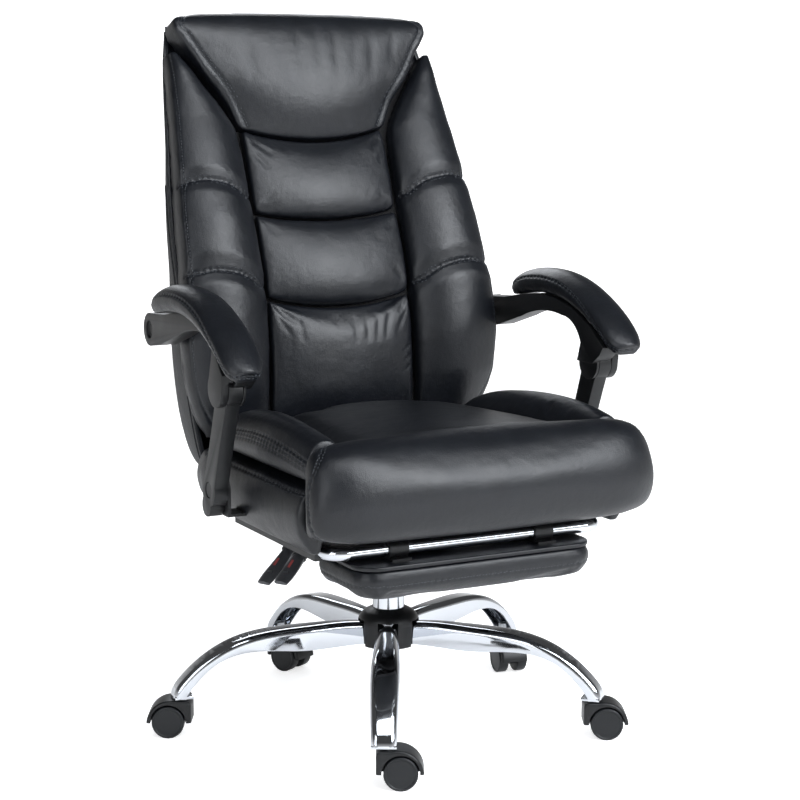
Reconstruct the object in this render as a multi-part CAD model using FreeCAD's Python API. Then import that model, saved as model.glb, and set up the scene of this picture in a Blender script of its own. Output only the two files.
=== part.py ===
"""Reclining office chair with a footrest, built as separate pieces.

The swivel axis is the Z axis, the floor is z = 0, the chair faces -Y and +X
is the sitter's left. Lengths are in millimetres and angles in degrees.
"""
import FreeCAD, Part
import math
import os

# Five-legged base
LEG_ANGLES = [-118.1, -46.1, 25.9, 97.9, 169.9]
LEG_WALL = 2.5
LEG_CORNER = 10.0
# Each station down a leg: radius and height of the back, radius and height of the open edge, width
LEG_STATIONS = [
    (31.0, 156.0, 31.0, 121.0, 26.0),
    (113.0, 159.0, 113.0, 121.5, 36.0),
    (173.0, 157.0, 173.0, 124.0, 41.0),
    (227.0, 150.5, 220.0, 127.0, 42.5),
    (262.0, 139.5, 254.0, 123.0, 42.5),
    (292.0, 123.5, 282.0, 111.5, 41.5),
    (321.0, 101.0, 307.0, 90.5, 39.5),
    (340.0, 81.0, 323.0, 72.5, 38.0),
    (348.0, 62.0, 329.0, 60.0, 37.5),
]
LEG_TIP_PLATE = 3.5
HUB_OUTER_R = 31.0
HUB_Z = (118.0, 165.0)
COVER_WALL = 3.0

# Casters
CASTER_REACH = 328.0
CASTER_TRAIL = 24.0
CASTER_HEADINGS = [-27.0, -27.0, -99.5, -63.2, 152.7]
WHEEL_R = 25.0
WHEEL_WIDTH = 17.0
WHEEL_GAP = 16.0
HOOD_Z = 58.0
HOOD_FRONT = -11.5
HOOD_ROUND = 4.0
HOOD_LOW = 24.0
STEM_FOOT = 40.0
STEM_R = 5.5
STEM_TOP = 76.0
SOCKET_R = 8.5
RUNNING_GAP = 0.05

# Gas column
COLUMN_R = 25.0
COLUMN_WALL = 2.0
COLUMN_Z = (125.0, 285.0)
CYLINDER_R = 14.0
CYLINDER_WALL = 2.0
CYLINDER_Z = (190.0, 340.0)
ROD_R = 5.0
BUSH_Z = (225.0, 285.0)

# Mechanism under the seat, and the axis on which the back reclines
HOUSING_HALF = 55.0
HOUSING_Y = (-115.0, 122.0)
HOUSING_Z = (290.0, 352.0)
HOUSING_WALL = 4.0
RECLINE_Y, RECLINE_Z = 158.9, 386.0
RECLINE_PIN_R = 6.0
EAR_R = 14.0
# Each lever: its name, the y of its rod and the tip of its paddle
LEVER_PLACES = [
    ("height_lever", -48.0, (-249.0, -82.0, 262.0)),
    ("recline_lever", -86.0, (-238.0, -119.0, 269.0)),
]
LEVER_PIVOT_X, LEVER_PIVOT_Z = -66.0, 312.0
LEVER_ROD_R = 4.0
LEVER_ELBOW_X = -178.0

# Seat
BOARD_HALF = 230.0
BOARD_Y = (-267.5, 118.0)
BOARD_Z = (352.0, 364.0)
SEAT_FRONT, SEAT_REAR = -268.0, 140.0
PAD_BASE_Z = 438.5
SKIRT_Z = 342.0
SKIRT_INNER = 237.0
CUSHION_GAP = 0.3

# Back, in its own frame: u runs up its bent spine from the seat, v out of it towards the sitter
SPINE_FOOT = (152.0, 480.0)
SPINE_LOW_LEAN, SPINE_HIGH_LEAN = 4.6, 21.6
SPINE_BEND_R = 400.0
BEND_START = 117.6
BEND_END = BEND_START + SPINE_BEND_R * math.radians(SPINE_HIGH_LEAN - SPINE_LOW_LEAN)
BACK_BOARD_U = (-20.0, 570.0)
BACK_BOARD_V = (-27.0, -20.0)
CUSHION_ROOT_V = -26.0
SHELL_WALL = 5.0
SHELL_CORNER = 15.0
SHELL_SLOT_HALF = 65.0
# Each station of a centre pad: u, half width, v of its edge and v of its crown
LUMBAR_STATIONS = [
    (-28, 118, -15, -9),
    (-8, 126, -6, 2),
    (38, 127, 1, 15),
    (95, 127, 3, 19),
    (140, 127, 2, 16),
    (169, 126, -2, 6),
    (175.5, 124, -7, -1),
]
MIDDLE_STATIONS = [
    (178.5, 124, -7, -1),
    (185, 126, -2, 6),
    (212, 127, 2, 16),
    (247, 127, 3, 19),
    (285, 127, 2, 16),
    (312, 126, -2, 6),
    (318.5, 124, -7, -1),
]
UPPER_STATIONS = [
    (321.5, 124, -7, -1),
    (328, 126, -2, 6),
    (357, 127, 2, 16),
    (392, 127, 3, 19),
    (427, 127, 2, 15),
    (456, 126, -2, 5),
    (462.5, 124, -6, 0),
]

# Armrest linkage: post foot, post head and rear hub
POST_FOOT = (-52.0, 403.5)
POST_HEAD = (-111.0, 560.5)
ARM_HUB = (201.0, 613.5)
POST_X = (300.0, 322.0)
POST_END_R = 26.0
ARM_X = (287.0, 317.0)
EAR_X = (295.0, 334.0)
ARM_CENTRE_X = 317.0
BRACKET_X = (294.7, 299.7)
BOLT_R = 6.0
HUB_PIN_R = 8.0
OPEN_PIVOT_PIN_R = 5.0
OPEN_PIVOT_HOLE_R = 9.5

# Footrest
RAIL_X = 222.0
RAIL_Y = (-232.0, 60.0)
RAIL_Z = (325.0, 351.7)
TUBE_R = 10.0
TUBE_WALL = 1.5
TUBE_Z = 338.0
TUBE_FRONT = -259.0
TUBE_CORNER = 26.0
REST_Y = (-304.0, -130.0)
REST_HALF = 198.0
REST_Z = (273.0, 316.0, 323.0)
CLIP_X = 120.0
CLIP_WIDTH = 30.0
CLIP_R = 13.5

PARTS = "parts"
LOFT_DEGREE = 3


def vec(x, y, z):
    return FreeCAD.Vector(x, y, z)


X_AXIS, Y_AXIS, Z_AXIS = vec(1, 0, 0), vec(0, 1, 0), vec(0, 0, 1)


def save(node, shape):
    """Write one sub-part, and say its size."""
    shape.exportStep(f"{PARTS}/{node}.step")
    print(f"{node:24s} solids {len(shape.Solids)} faces {len(shape.Faces):4d}"
          f" valid {shape.isValid()} volume {shape.Volume / 1000:.1f} cm3")


def box(x, y, z):
    """Box from three (low, high) pairs."""
    return Part.makeBox(x[1] - x[0], y[1] - y[0], z[1] - z[0], vec(x[0], y[0], z[0]))


def rod(radius, start, end):
    """Round bar between two points."""
    along = end - start
    return Part.makeCylinder(radius, along.Length, start, along)


def ring(outer, inner, start, end):
    """Tube between two points."""
    return rod(outer, start, end).cut(rod(inner, start, end))


def x_rod(radius, y, z, x):
    """Round bar along X."""
    return rod(radius, vec(x[0], y, z), vec(x[1], y, z))


def z_rod(radius, x, y, z):
    """Round bar along Z."""
    return rod(radius, vec(x, y, z[0]), vec(x, y, z[1]))


def wire(start, steps, place):
    """Closed wire. A step is (end,) for a line or (through, end) for an arc."""
    edges = []
    here = start
    for step in steps:
        end = step[-1]
        if len(step) == 1:
            edges.append(Part.makeLine(place(here), place(end)))
        else:
            edges.append(Part.Arc(place(here), place(step[0]), place(end)).toShape())
        here = end
    if math.dist(here, start) > 1e-6:
        edges.append(Part.makeLine(place(here), place(start)))
    return Part.Wire(edges)


def loft(wires, ruled=False):
    """Solid through closed wires with equal numbers of edges."""
    return Part.makeLoft(wires, True, ruled, False, LOFT_DEGREE)


def slab(start, steps, x):
    """Side outline in Y and Z, as thick as the pair x."""
    outline = wire(start, steps, lambda p: vec(x[0], p[0], p[1]))
    return Part.Face(outline).extrude(vec(x[1] - x[0], 0, 0))


def mirrored(shape):
    """The same piece on the other side of the chair."""
    return shape.mirror(vec(0, 0, 0), X_AXIS)


def turned(shape, angle):
    """The shape turned about the swivel axis."""
    result = shape.copy()
    result.rotate(vec(0, 0, 0), Z_AXIS, angle)
    return result


def polar(radius, angle, z):
    """Point at a radius and an angle about the swivel axis."""
    turn = math.radians(angle)
    return vec(radius * math.cos(turn), radius * math.sin(turn), z)


def back_point(x, u, v):
    """Point of the back's frame in the chair's frame."""
    low = math.radians(SPINE_LOW_LEAN)
    bent = min(max(u, BEND_START), BEND_END) - BEND_START
    lean = low + bent / SPINE_BEND_R
    below, above = min(u, BEND_START), max(u - BEND_END, 0.0)
    y = SPINE_FOOT[0] + below * math.sin(low) + above * math.sin(lean)
    z = SPINE_FOOT[1] + below * math.cos(low) + above * math.cos(lean)
    y += SPINE_BEND_R * (math.cos(low) - math.cos(lean)) - v * math.cos(lean)
    z += SPINE_BEND_R * (math.sin(lean) - math.sin(low)) + v * math.sin(lean)
    return vec(x, y, z)


def back_layer(u, v, half):
    """Sheet that follows the spine between two heights and two offsets from it."""
    def at(height, offset):
        point = back_point(0, height, offset)
        return point.y, point.z

    middle = (BEND_START + BEND_END) / 2
    return slab(at(u[0], v[0]), [
        (at(BEND_START, v[0]),),
        (at(middle, v[0]), at(BEND_END, v[0])),
        (at(u[1], v[0]),),
        (at(u[1], v[1]),),
        (at(BEND_END, v[1]),),
        (at(middle, v[1]), at(BEND_START, v[1])),
        (at(u[0], v[1]),),
    ], (-half, half))


def back_section(u, start, steps):
    """Closed wire across the back at the height u, from points (x, v)."""
    return wire(start, steps, lambda p: back_point(p[0], u, p[1]))


def leg_section(station, inset):
    """Section of the pressed leg: a back with round shoulders, open below."""
    back_r, back_z, edge_r, edge_z, width = station
    depth = math.dist((back_r, back_z), (edge_r, edge_z))
    down = ((edge_r - back_r) / depth, (edge_z - back_z) / depth)
    half = width / 2 - inset
    corner = LEG_CORNER - inset
    soft = corner * (1 - math.sqrt(0.5))
    low = depth + (4.0 if inset else 0.0)

    def place(point):
        side, below = point
        return vec(back_r + down[0] * below, side, back_z + down[1] * below)

    return wire((-half, low), [
        ((-half, inset + corner),),
        ((-half + soft, inset + soft), (-half + corner, inset)),
        ((half - corner, inset),),
        ((half - soft, inset + soft), (half, inset + corner)),
        ((half, low),),
    ], place)


def leg():
    """One pressed steel leg along +X, with the plate that holds its caster socket."""
    outer = loft([leg_section(s, 0.0) for s in LEG_STATIONS])
    inner = loft([leg_section(s, LEG_WALL) for s in LEG_STATIONS])
    shell = outer.cut(inner)
    plate = box((CASTER_REACH - 11, 346.0), (-18.5, 18.5), (60.5, 60.5 + LEG_TIP_PLATE))
    plate = plate.cut(z_rod(SOCKET_R, CASTER_REACH, 0, (50, 80)))
    return shell.fuse(plate).removeSplitter()


def base_hub():
    return ring(HUB_OUTER_R, COLUMN_R, vec(0, 0, HUB_Z[0]), vec(0, 0, HUB_Z[1]))


def hub_cover():
    """Moulded dome over the leg roots."""
    def profile(grow):
        top = 178.0 + grow
        return wire((0, 119.0 + grow * 2), [
            ((46.0 + grow, 119.0 + grow * 2),),
            ((48.0 + grow, 150.0),),
            ((45.5 + grow, 164.0 + grow), (36.0, 173.0 + grow)),
            ((26.0, top),),
            ((0, top),),
        ], lambda p: vec(p[0], 0, p[1]))

    outer = Part.Face(profile(0.0)).revolve(vec(0, 0, 0), Z_AXIS, 360)
    inner = Part.Face(profile(-COVER_WALL)).revolve(vec(0, 0, 0), Z_AXIS, 360)
    cover = outer.cut(inner)
    cover = cover.cut(z_rod(COLUMN_R + 0.4, 0, 0, (100, 200)))
    for angle in LEG_ANGLES:
        cover = cover.cut(turned(box((20, 70), (-16.0, 16.0), (100, 160.5)), angle))
    return cover


def column_tube():
    tube = ring(COLUMN_R, COLUMN_R - COLUMN_WALL, vec(0, 0, COLUMN_Z[0]), vec(0, 0, COLUMN_Z[1]))
    floor = ring(COLUMN_R - COLUMN_WALL, ROD_R + RUNNING_GAP,
                 vec(0, 0, COLUMN_Z[0]), vec(0, 0, COLUMN_Z[0] + 4))
    return tube.fuse(floor).removeSplitter()


def guide_bush():
    """Plastic liner in which the pressure cylinder slides and turns."""
    liner = ring(COLUMN_R - COLUMN_WALL, CYLINDER_R + RUNNING_GAP,
                 vec(0, 0, BUSH_Z[0]), vec(0, 0, BUSH_Z[1]))
    collar = ring(COLUMN_R, CYLINDER_R + RUNNING_GAP,
                  vec(0, 0, BUSH_Z[1]), vec(0, 0, BUSH_Z[1] + 3))
    return liner.fuse(collar).removeSplitter()


def thrust_bearing():
    return ring(12.0, ROD_R + 0.1, vec(0, 0, 129), vec(0, 0, 134))


def piston_rod():
    """Rod with its clip, the collar that stands on the bearing, and its piston."""
    bar = z_rod(ROD_R, 0, 0, (119, 290))
    clip = z_rod(8.0, 0, 0, (121, 124.8))
    collar = z_rod(9.0, 0, 0, (134, 137))
    piston = z_rod(CYLINDER_R - CYLINDER_WALL - RUNNING_GAP, 0, 0, (280, 290))
    return bar.fuse([clip, collar, piston]).removeSplitter()


def pressure_cylinder():
    low, high = CYLINDER_Z
    body = z_rod(CYLINDER_R, 0, 0, CYLINDER_Z)
    body = body.cut(z_rod(CYLINDER_R - CYLINDER_WALL, 0, 0, (low + 6, high - 6)))
    return body.cut(z_rod(ROD_R + RUNNING_GAP, 0, 0, (low - 1, low + 7)))


def caster_place(index):
    """Stem axis of a caster, and the way it trails."""
    stem = polar(CASTER_REACH, LEG_ANGLES[index], 0)
    trail = math.radians(CASTER_HEADINGS[index])
    return stem, vec(math.cos(trail), math.sin(trail), 0)


def placed_caster(shape, index):
    """A caster piece, modelled with its stem on the Z axis and trailing to +X."""
    stem, _ = caster_place(index)
    result = shape.copy()
    result.rotate(vec(0, 0, 0), Z_AXIS, CASTER_HEADINGS[index])
    result.translate(stem)
    return result


def caster_hood():
    """Hood between and over the twin wheels, with the steel stem pressed into it."""
    web_half = WHEEL_GAP / 2 - 1.0
    side = WHEEL_GAP / 2 + WHEEL_WIDTH - 2.0

    def disc(radius, half_width):
        return rod(radius, vec(CASTER_TRAIL, -half_width, WHEEL_R), vec(CASTER_TRAIL, half_width, WHEEL_R))

    outline = wire((HOOD_FRONT, HOOD_LOW), [
        ((HOOD_FRONT, HOOD_Z - 8),),
        ((HOOD_FRONT + 2.3, HOOD_Z - 2.3), (HOOD_FRONT + 8, HOOD_Z)),
        ((12.0, HOOD_Z),),
        ((42.5, 51.5), (57.5, HOOD_LOW)),
    ], lambda p: vec(p[0], -side, p[1]))
    hood = Part.Face(outline).extrude(vec(0, 2 * side, 0))
    rims = [e for e in hood.Edges if abs(e.BoundBox.YLength) < 0.1 and e.BoundBox.ZMax > HOOD_LOW + 1]
    hood = hood.makeFillet(HOOD_ROUND, rims)
    for y in ((-60, -web_half), (web_half, 60)):
        hood = hood.cut(disc(WHEEL_R + 2.5, 60).common(box((-60, 120), y, (-20, 90))))
    hood = hood.fuse(disc(13.0, web_half)).removeSplitter()
    hood = hood.cut(disc(3.0 + RUNNING_GAP, 60))
    hood = hood.cut(z_rod(STEM_R, 0, 0, (STEM_FOOT, HOOD_Z + 5)))
    stem = z_rod(STEM_R, 0, 0, (STEM_FOOT, STEM_TOP)).fuse(z_rod(7.0, 0, 0, (HOOD_Z, HOOD_Z + 1.3)))
    return Part.makeCompound([hood, stem.removeSplitter()])


def caster_wheels():
    """Two bevelled wheels on their axle."""
    pieces = []
    inner = WHEEL_GAP / 2
    for side in (-1, 1):
        profile = wire((3.0, inner), [
            ((WHEEL_R - 1.5, inner),),
            ((WHEEL_R, inner + 2.0),),
            ((WHEEL_R, inner + WHEEL_WIDTH - 7.0),),
            ((WHEEL_R - 2.5, inner + WHEEL_WIDTH - 2.5), (WHEEL_R - 7.0, inner + WHEEL_WIDTH - 0.6)),
            ((8.0, inner + WHEEL_WIDTH), (3.0, inner + WHEEL_WIDTH)),
        ], lambda p: vec(0, side * p[1], p[0]))
        wheel = Part.Face(profile).revolve(vec(0, 0, 0), Y_AXIS, 360)
        wheel.translate(vec(CASTER_TRAIL, 0, WHEEL_R))
        pieces.append(wheel)
    reach = inner + WHEEL_WIDTH - 2.0
    pieces.append(rod(3.0, vec(CASTER_TRAIL, -reach, WHEEL_R), vec(CASTER_TRAIL, reach, WHEEL_R)))
    return Part.makeCompound(pieces)


def caster_sockets():
    """Five steel sockets, one in each leg's tip plate."""
    sockets = []
    for angle in LEG_ANGLES:
        foot, top = polar(CASTER_REACH, angle, 64.0), polar(CASTER_REACH, angle, STEM_TOP + 2)
        flange = ring(SOCKET_R, STEM_R + RUNNING_GAP, polar(CASTER_REACH, angle, 62.6), foot)
        sleeve = ring(SOCKET_R, STEM_R + RUNNING_GAP, foot, top)
        sockets.append(sleeve.fuse(flange).removeSplitter())
    return Part.makeCompound(sockets)


def mechanism_housing():
    """Pressed steel box under the seat, with the cylinder socket and the ears for the back."""
    low, high = HOUSING_Z
    half = HOUSING_HALF
    wall = HOUSING_WALL
    body = box((-half, half), HOUSING_Y, HOUSING_Z)
    body = body.cut(box((-half + wall, half - wall), (HOUSING_Y[0] + wall, HOUSING_Y[1] - wall),
                        (low - 1, high - wall)))
    socket = z_rod(22.0, 0, 0, (low + 2, high - wall)).cut(z_rod(CYLINDER_R, 0, 0, (low, CYLINDER_Z[1])))
    body = body.fuse(socket)
    for x in ((-half, -half + wall), (half - wall, half)):
        ear = slab((HOUSING_Y[1] - 30, low + 4), [
            ((RECLINE_Y + EAR_R, RECLINE_Z - 30),),
            ((RECLINE_Y + EAR_R, RECLINE_Z),),
            ((RECLINE_Y, RECLINE_Z + EAR_R), (RECLINE_Y - EAR_R, RECLINE_Z)),
            ((RECLINE_Y - EAR_R - 10, high),),
            ((HOUSING_Y[1] - 30, high),),
        ], x)
        body = body.fuse(ear)
    for _, y, _ in LEVER_PLACES:
        for side in (-1, 1):
            near, far = sorted((y + side * 5.2, y + side * 9.2))
            tab = box((LEVER_PIVOT_X - 7, -half), (near, far), (LEVER_PIVOT_Z - 7, LEVER_PIVOT_Z + 7))
            hole = rod(2.5 + RUNNING_GAP, vec(LEVER_PIVOT_X, near - 1, LEVER_PIVOT_Z),
                       vec(LEVER_PIVOT_X, far + 1, LEVER_PIVOT_Z))
            body = body.fuse(tab.cut(hole))
    body = body.cut(x_rod(RECLINE_PIN_R, RECLINE_Y, RECLINE_Z, (-80, 80)))
    return body.removeSplitter()


def recline_pin():
    """Pin through the ears, headed at both ends."""
    pin = x_rod(RECLINE_PIN_R, RECLINE_Y, RECLINE_Z, (-61, 61))
    heads = [x_rod(10.0, RECLINE_Y, RECLINE_Z, x) for x in ((-59.5, -55.2), (55.2, 59.5))]
    return pin.fuse(heads).removeSplitter()


def recline_lock_plates():
    """Clamp plates on the pin, which hold the back where it is left."""
    plates = []
    for index in range(5):
        x = -30.0 + index * 15.0
        plate = x_rod(12.0, RECLINE_Y, RECLINE_Z, (x - 1.5, x + 1.5))
        plates.append(plate.cut(x_rod(RECLINE_PIN_R, RECLINE_Y, RECLINE_Z, (x - 5, x + 5))))
    return Part.makeCompound(plates)


def lever_rod(y):
    """Cranked rod with its cross pin."""
    pivot = vec(LEVER_PIVOT_X, y, LEVER_PIVOT_Z)
    elbow = vec(LEVER_ELBOW_X, y, LEVER_PIVOT_Z)
    boss = rod(6.0, pivot - Y_AXIS * 4.9, pivot + Y_AXIS * 4.9)
    pin = rod(2.5, pivot - Y_AXIS * 9.6, pivot + Y_AXIS * 9.6)
    bar = rod(LEVER_ROD_R, pivot, elbow)
    knee = Part.makeSphere(LEVER_ROD_R, elbow)
    return bar.fuse([boss, pin, knee]).removeSplitter()


def lever_paddle(y, tip):
    """Hand paddle: a sleeve on the rod that widens and flattens down to the tip."""
    root = vec(LEVER_ELBOW_X - 3, y, LEVER_PIVOT_Z - 2)
    along = (tip - root).normalize()
    side = along.cross(Z_AXIS).normalize()
    up = side.cross(along).normalize()

    def section(share, half_width, half_thick):
        centre = root + (tip - root) * share
        return wire((-half_width, 0), [
            ((0, half_thick * 1.3), (half_width, 0)),
            ((half_width - 2, -half_thick),),
            ((-half_width + 2, -half_thick),),
        ], lambda p: centre + side * p[0] + up * p[1])

    grip = loft([section(0.0, 8, 6), section(0.3, 10, 6), section(0.6, 13, 4.5), section(1.0, 11.5, 3)])
    pivot = vec(LEVER_PIVOT_X, y, LEVER_PIVOT_Z)
    elbow = vec(LEVER_ELBOW_X, y, LEVER_PIVOT_Z)
    grip = grip.cut(rod(LEVER_ROD_R, pivot, elbow))
    return grip.cut(Part.makeSphere(LEVER_ROD_R, elbow))


def seat_board():
    """Plywood base of the seat, with round corners."""
    board = box((-BOARD_HALF, BOARD_HALF), BOARD_Y, BOARD_Z)
    edges = [e for e in board.Edges if abs(e.tangentAt(e.FirstParameter).z) > 0.9]
    return board.makeFillet(40.0, edges)


def footrest_rails():
    """Two guide blocks under the board, bored for the footrest tube."""
    rails = []
    for side in (-1, 1):
        centre = side * RAIL_X
        block = box((centre - 12.5, centre + 12.5), RAIL_Y, RAIL_Z)
        front_end = vec(centre, RAIL_Y[0] - 5, TUBE_Z)
        rear_end = vec(centre, RAIL_Y[1] + 5, TUBE_Z)
        bore = rod(TUBE_R + RUNNING_GAP, front_end, rear_end)
        rails.append(block.cut(bore))
    return Part.makeCompound(rails)


def arm_bracket():
    """Steel angle from the seat board to the post foot, on the +X side."""
    y = (POST_FOOT[0] - 20, POST_FOOT[0] + 20)
    z = BOARD_Z[1]
    foot = box((150, BRACKET_X[1]), y, (z, z + 4))
    upright = slab((y[0], z), [
        ((y[1], z),),
        ((y[1], POST_FOOT[1]),),
        ((POST_FOOT[0], POST_FOOT[1] + 20), (y[0], POST_FOOT[1])),
    ], BRACKET_X)
    bracket = foot.fuse(upright)
    return bracket.cut(x_rod(BOLT_R, *POST_FOOT, (280, 310))).removeSplitter()


def arm_post_bolts():
    """Two bolts on which the posts turn."""
    bolt = x_rod(BOLT_R, *POST_FOOT, (BRACKET_X[0], POST_X[1] - 5))
    bolt = bolt.fuse(x_rod(11.0, *POST_FOOT, (POST_X[1] - 5, POST_X[1] - 1))).removeSplitter()
    return Part.makeCompound([bolt, mirrored(bolt)])


def seat_base_cushion():
    """Lower layer of the seat, whose sides swell out and wrap down over the board's edge."""
    def section(y, foot, middle, shelf, top):
        low = BOARD_Z[1] + CUSHION_GAP
        hem = foot - 12.0
        return wire((-hem, SKIRT_Z), [
            ((-SKIRT_INNER, SKIRT_Z),),
            ((-SKIRT_INNER, low),),
            ((SKIRT_INNER, low),),
            ((SKIRT_INNER, SKIRT_Z),),
            ((hem, SKIRT_Z),),
            ((middle, (low + top) / 2), (shelf, top)),
            ((-shelf, top),),
            ((-middle, (low + top) / 2), (-hem, SKIRT_Z)),
        ], lambda p: vec(p[0], y, p[1]))

    cushion = loft([
        section(SEAT_FRONT, 264, 277, 260, 437),
        section(-120, 266, 279, 263, 438),
        section(0, 266, 279, 263, 438),
        section(95, 264, 277, 261, 437),
        section(SEAT_REAR, 257, 269, 254, 432),
    ], ruled=True)
    cushion = cushion.cut(box((-62, 62), (RECLINE_Y - EAR_R - 16, 200), (300, 500)))
    pocket = box((149, 310), (POST_FOOT[0] - 20.5, POST_FOOT[0] + 20.5), (BOARD_Z[1] - 1, BOARD_Z[1] + 4.3))
    return cushion.cut(pocket).cut(mirrored(pocket))


def seat_cushion():
    """Upper seat cushion: the centre, which widens towards its waterfall front."""
    def section(y, half, edge, crown):
        return wire((-half, PAD_BASE_Z), [
            ((half, PAD_BASE_Z),),
            ((half + 1.5, (PAD_BASE_Z + edge) / 2), (half - 3, edge)),
            ((0, crown), (-half + 3, edge)),
            ((-half - 1.5, (PAD_BASE_Z + edge) / 2), (-half, PAD_BASE_Z)),
        ], lambda p: vec(p[0], y, p[1]))

    centre = loft([
        section(SEAT_FRONT - 12, 194, 488, 503),
        section(-200, 189, 488, 504),
        section(-100, 176, 486, 503),
        section(20, 160, 483, 498),
        section(92, 150, 477, 488),
        section(125, 146, 466, 474),
        section(SEAT_REAR, 142, 452, 457),
    ])
    return centre.fuse(seat_front_roll()).removeSplitter()


def seat_side_pad():
    """Upper bolster of the seat on the +X side."""
    def section(y, inner, outer, crest):
        rim = crest - 24
        return wire((inner, PAD_BASE_Z), [
            ((outer - 6, PAD_BASE_Z + 5),),
            ((outer + 3, (PAD_BASE_Z + rim) / 2 + 2), (outer - 6, rim)),
            (((inner + outer) / 2 + 4, crest), (inner + 7, rim - 4)),
            ((inner,  PAD_BASE_Z),),
        ], lambda p: vec(p[0], y, p[1]))

    return loft([
        section(SEAT_FRONT, 197, 263, 506),
        section(-205, 193, 266, 515),
        section(-120, 183, 267, 519),
        section(-20, 169, 266, 513),
        section(45, 163, 264, 502),
        section(88, 161, 259, 486),
        section(103, 163, 253, 472),
    ])


def seat_front_roll():
    """Front of the seat cushion, rounded at both ends and down to the board."""
    def section(x, rear, low, back_top, crest, shoulder, nose, toe):
        return wire((rear, low), [
            ((rear, back_top),),
            (((rear + shoulder[0]) / 2, crest), shoulder),
            (nose, (toe, low)),
        ], lambda p: vec(x, p[0], p[1]))

    rear = SEAT_FRONT - CUSHION_GAP

    half = [
        (0, rear, 357, 504, 507, (-346, 480), (-361, 425), -334),
        (150, rear, 357, 504, 507, (-345, 480), (-360, 425), -333),
        (235, rear, 358, 501, 504, (-338, 478), (-353, 425), -327),
        (263, rear - 2, 364, 491, 493, (-327, 469), (-341, 424), -318),
        (276, rear - 14, 376, 470, 471, (-318, 452), (-331, 423), -311),
        (281, rear - 30, 392, 450, 451, (-312, 440), (-321, 421), -308),
    ]
    sections = [section(-x, *rest) for x, *rest in reversed(half)]
    sections += [section(x, *rest) for x, *rest in half[1:]]
    return loft(sections)


def recline_yoke():
    """Two steel side plates from the recline pin up behind the back board, and their cross plate."""
    inner, outer = HOUSING_HALF - HOUSING_WALL - 6.3, HOUSING_HALF - HOUSING_WALL - 0.3
    front_low = back_point(0, -5, BACK_BOARD_V[1])
    front_high = back_point(0, 190, 20)
    rear_high = back_point(0, 190, -60)
    plates = []
    for x in ((-outer, -inner), (inner, outer)):
        plates.append(slab((RECLINE_Y - EAR_R, RECLINE_Z), [
            ((RECLINE_Y + 6, RECLINE_Z + 42),),
            ((front_low.y, front_low.z),),
            ((front_high.y, front_high.z),),
            ((rear_high.y, rear_high.z),),
            ((RECLINE_Y + EAR_R, RECLINE_Z),),
            ((RECLINE_Y, RECLINE_Z - EAR_R), (RECLINE_Y - EAR_R, RECLINE_Z)),
        ], x))
    web = back_layer((-60, 300), (BACK_BOARD_V[0] - 6, BACK_BOARD_V[1]), outer)
    web = web.common(box((-outer, outer), (100, 400), (front_low.z, front_high.z - 40)))
    web = web.cut(x_rod(14.0, *ARM_HUB, (-90, 90)))
    yoke = plates[0].fuse([plates[1], web])
    yoke = yoke.cut(back_layer((-60, 300), (BACK_BOARD_V[0] - 0.2, 60), 100))
    yoke = yoke.cut(x_rod(RECLINE_PIN_R + RUNNING_GAP, RECLINE_Y, RECLINE_Z, (-90, 90)))
    return yoke.cut(x_rod(10.0, *ARM_HUB, (-90, 90))).removeSplitter()


def back_crossbar():
    """Steel bar through the yoke, whose ends carry the armrest hubs."""
    shoulder = ARM_X[0] - 0.4
    bar = x_rod(10.0, *ARM_HUB, (-shoulder, shoulder))
    journal = x_rod(HUB_PIN_R, *ARM_HUB, (-ARM_X[1] + 4, ARM_X[1] - 4))
    return bar.fuse(journal).removeSplitter()


def back_board():
    """Bent plywood board behind the back cushions."""
    half = [(440, 214), (540, 236), (720, 252), (860, 242), (980, 230), (1040, 216)]
    outline = half + [(z, -x) for z, x in reversed(half)]
    corners = [vec(x, 0, z) for z, x in outline]
    plan = Part.Face(Part.makePolygon(corners + corners[:1])).extrude(vec(0, 500, 0))
    return back_layer(BACK_BOARD_U, BACK_BOARD_V, 300).common(plan)


def cushion_side(shape):
    """The part of a back cushion that lies in front of the board."""
    return shape.cut(back_layer((-150, 800), (-150, BACK_BOARD_V[1] + CUSHION_GAP), 400))


def back_shell():
    """Upholstered rear casing: a tray that is deep at the foot and thin at the top."""
    foot, top = -88.0, 645.0
    stations = [(foot, 236, -64), (-50, 248, -90), (-5, 255, -98), (50, 261, -98), (110, 265, -95),
                (170, 267, -87), (225, 267, -73), (290, 265, -61), (380, 258, -50), (510, 243, -39),
                (600, 232, -31), (top, 226, -26)]

    def section(u, half, rear, front, inset):
        half, rear = half - inset, rear + inset
        turn = min(SHELL_CORNER, 0.4 * (front - rear)) - inset / 2
        soft = turn * (1 - math.sqrt(0.5))
        return back_section(u, (-half, front), [
            ((-half, rear + turn),),
            ((-half + soft, rear + soft), (-half + turn, rear)),
            ((half - turn, rear),),
            ((half - soft, rear + soft), (half, rear + turn)),
            ((half, front),),
        ])

    outer = loft([section(u, half, rear, 10.0, 0.0) for u, half, rear in stations])
    hollow = [(foot + SHELL_WALL, 238, -69)] + stations[1:-1] + [(top - SHELL_WALL, 227, -27)]
    inner = loft([section(u, half, rear, 25.0, SHELL_WALL) for u, half, rear in hollow])
    shell = outer.cut(inner).cut(back_layer((-150, 800), (BACK_BOARD_V[1], 60), 400))
    shell = shell.cut(box((-SHELL_SLOT_HALF, SHELL_SLOT_HALF), (100, 200), (370, 440)))
    return shell.cut(x_rod(11.0, *ARM_HUB, (-300, 300)))


def centre_pad(sections):
    """One crowned pad of the centre column. A section is (u, half width, edge v, crown v)."""
    wires = []
    for u, half, edge, crown in sections:
        wires.append(back_section(u, (-half, CUSHION_ROOT_V), [
            ((-half, edge),),
            ((0, crown), (half, edge)),
            ((half, CUSHION_ROOT_V),),
        ]))
    return cushion_side(loft(wires))


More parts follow.
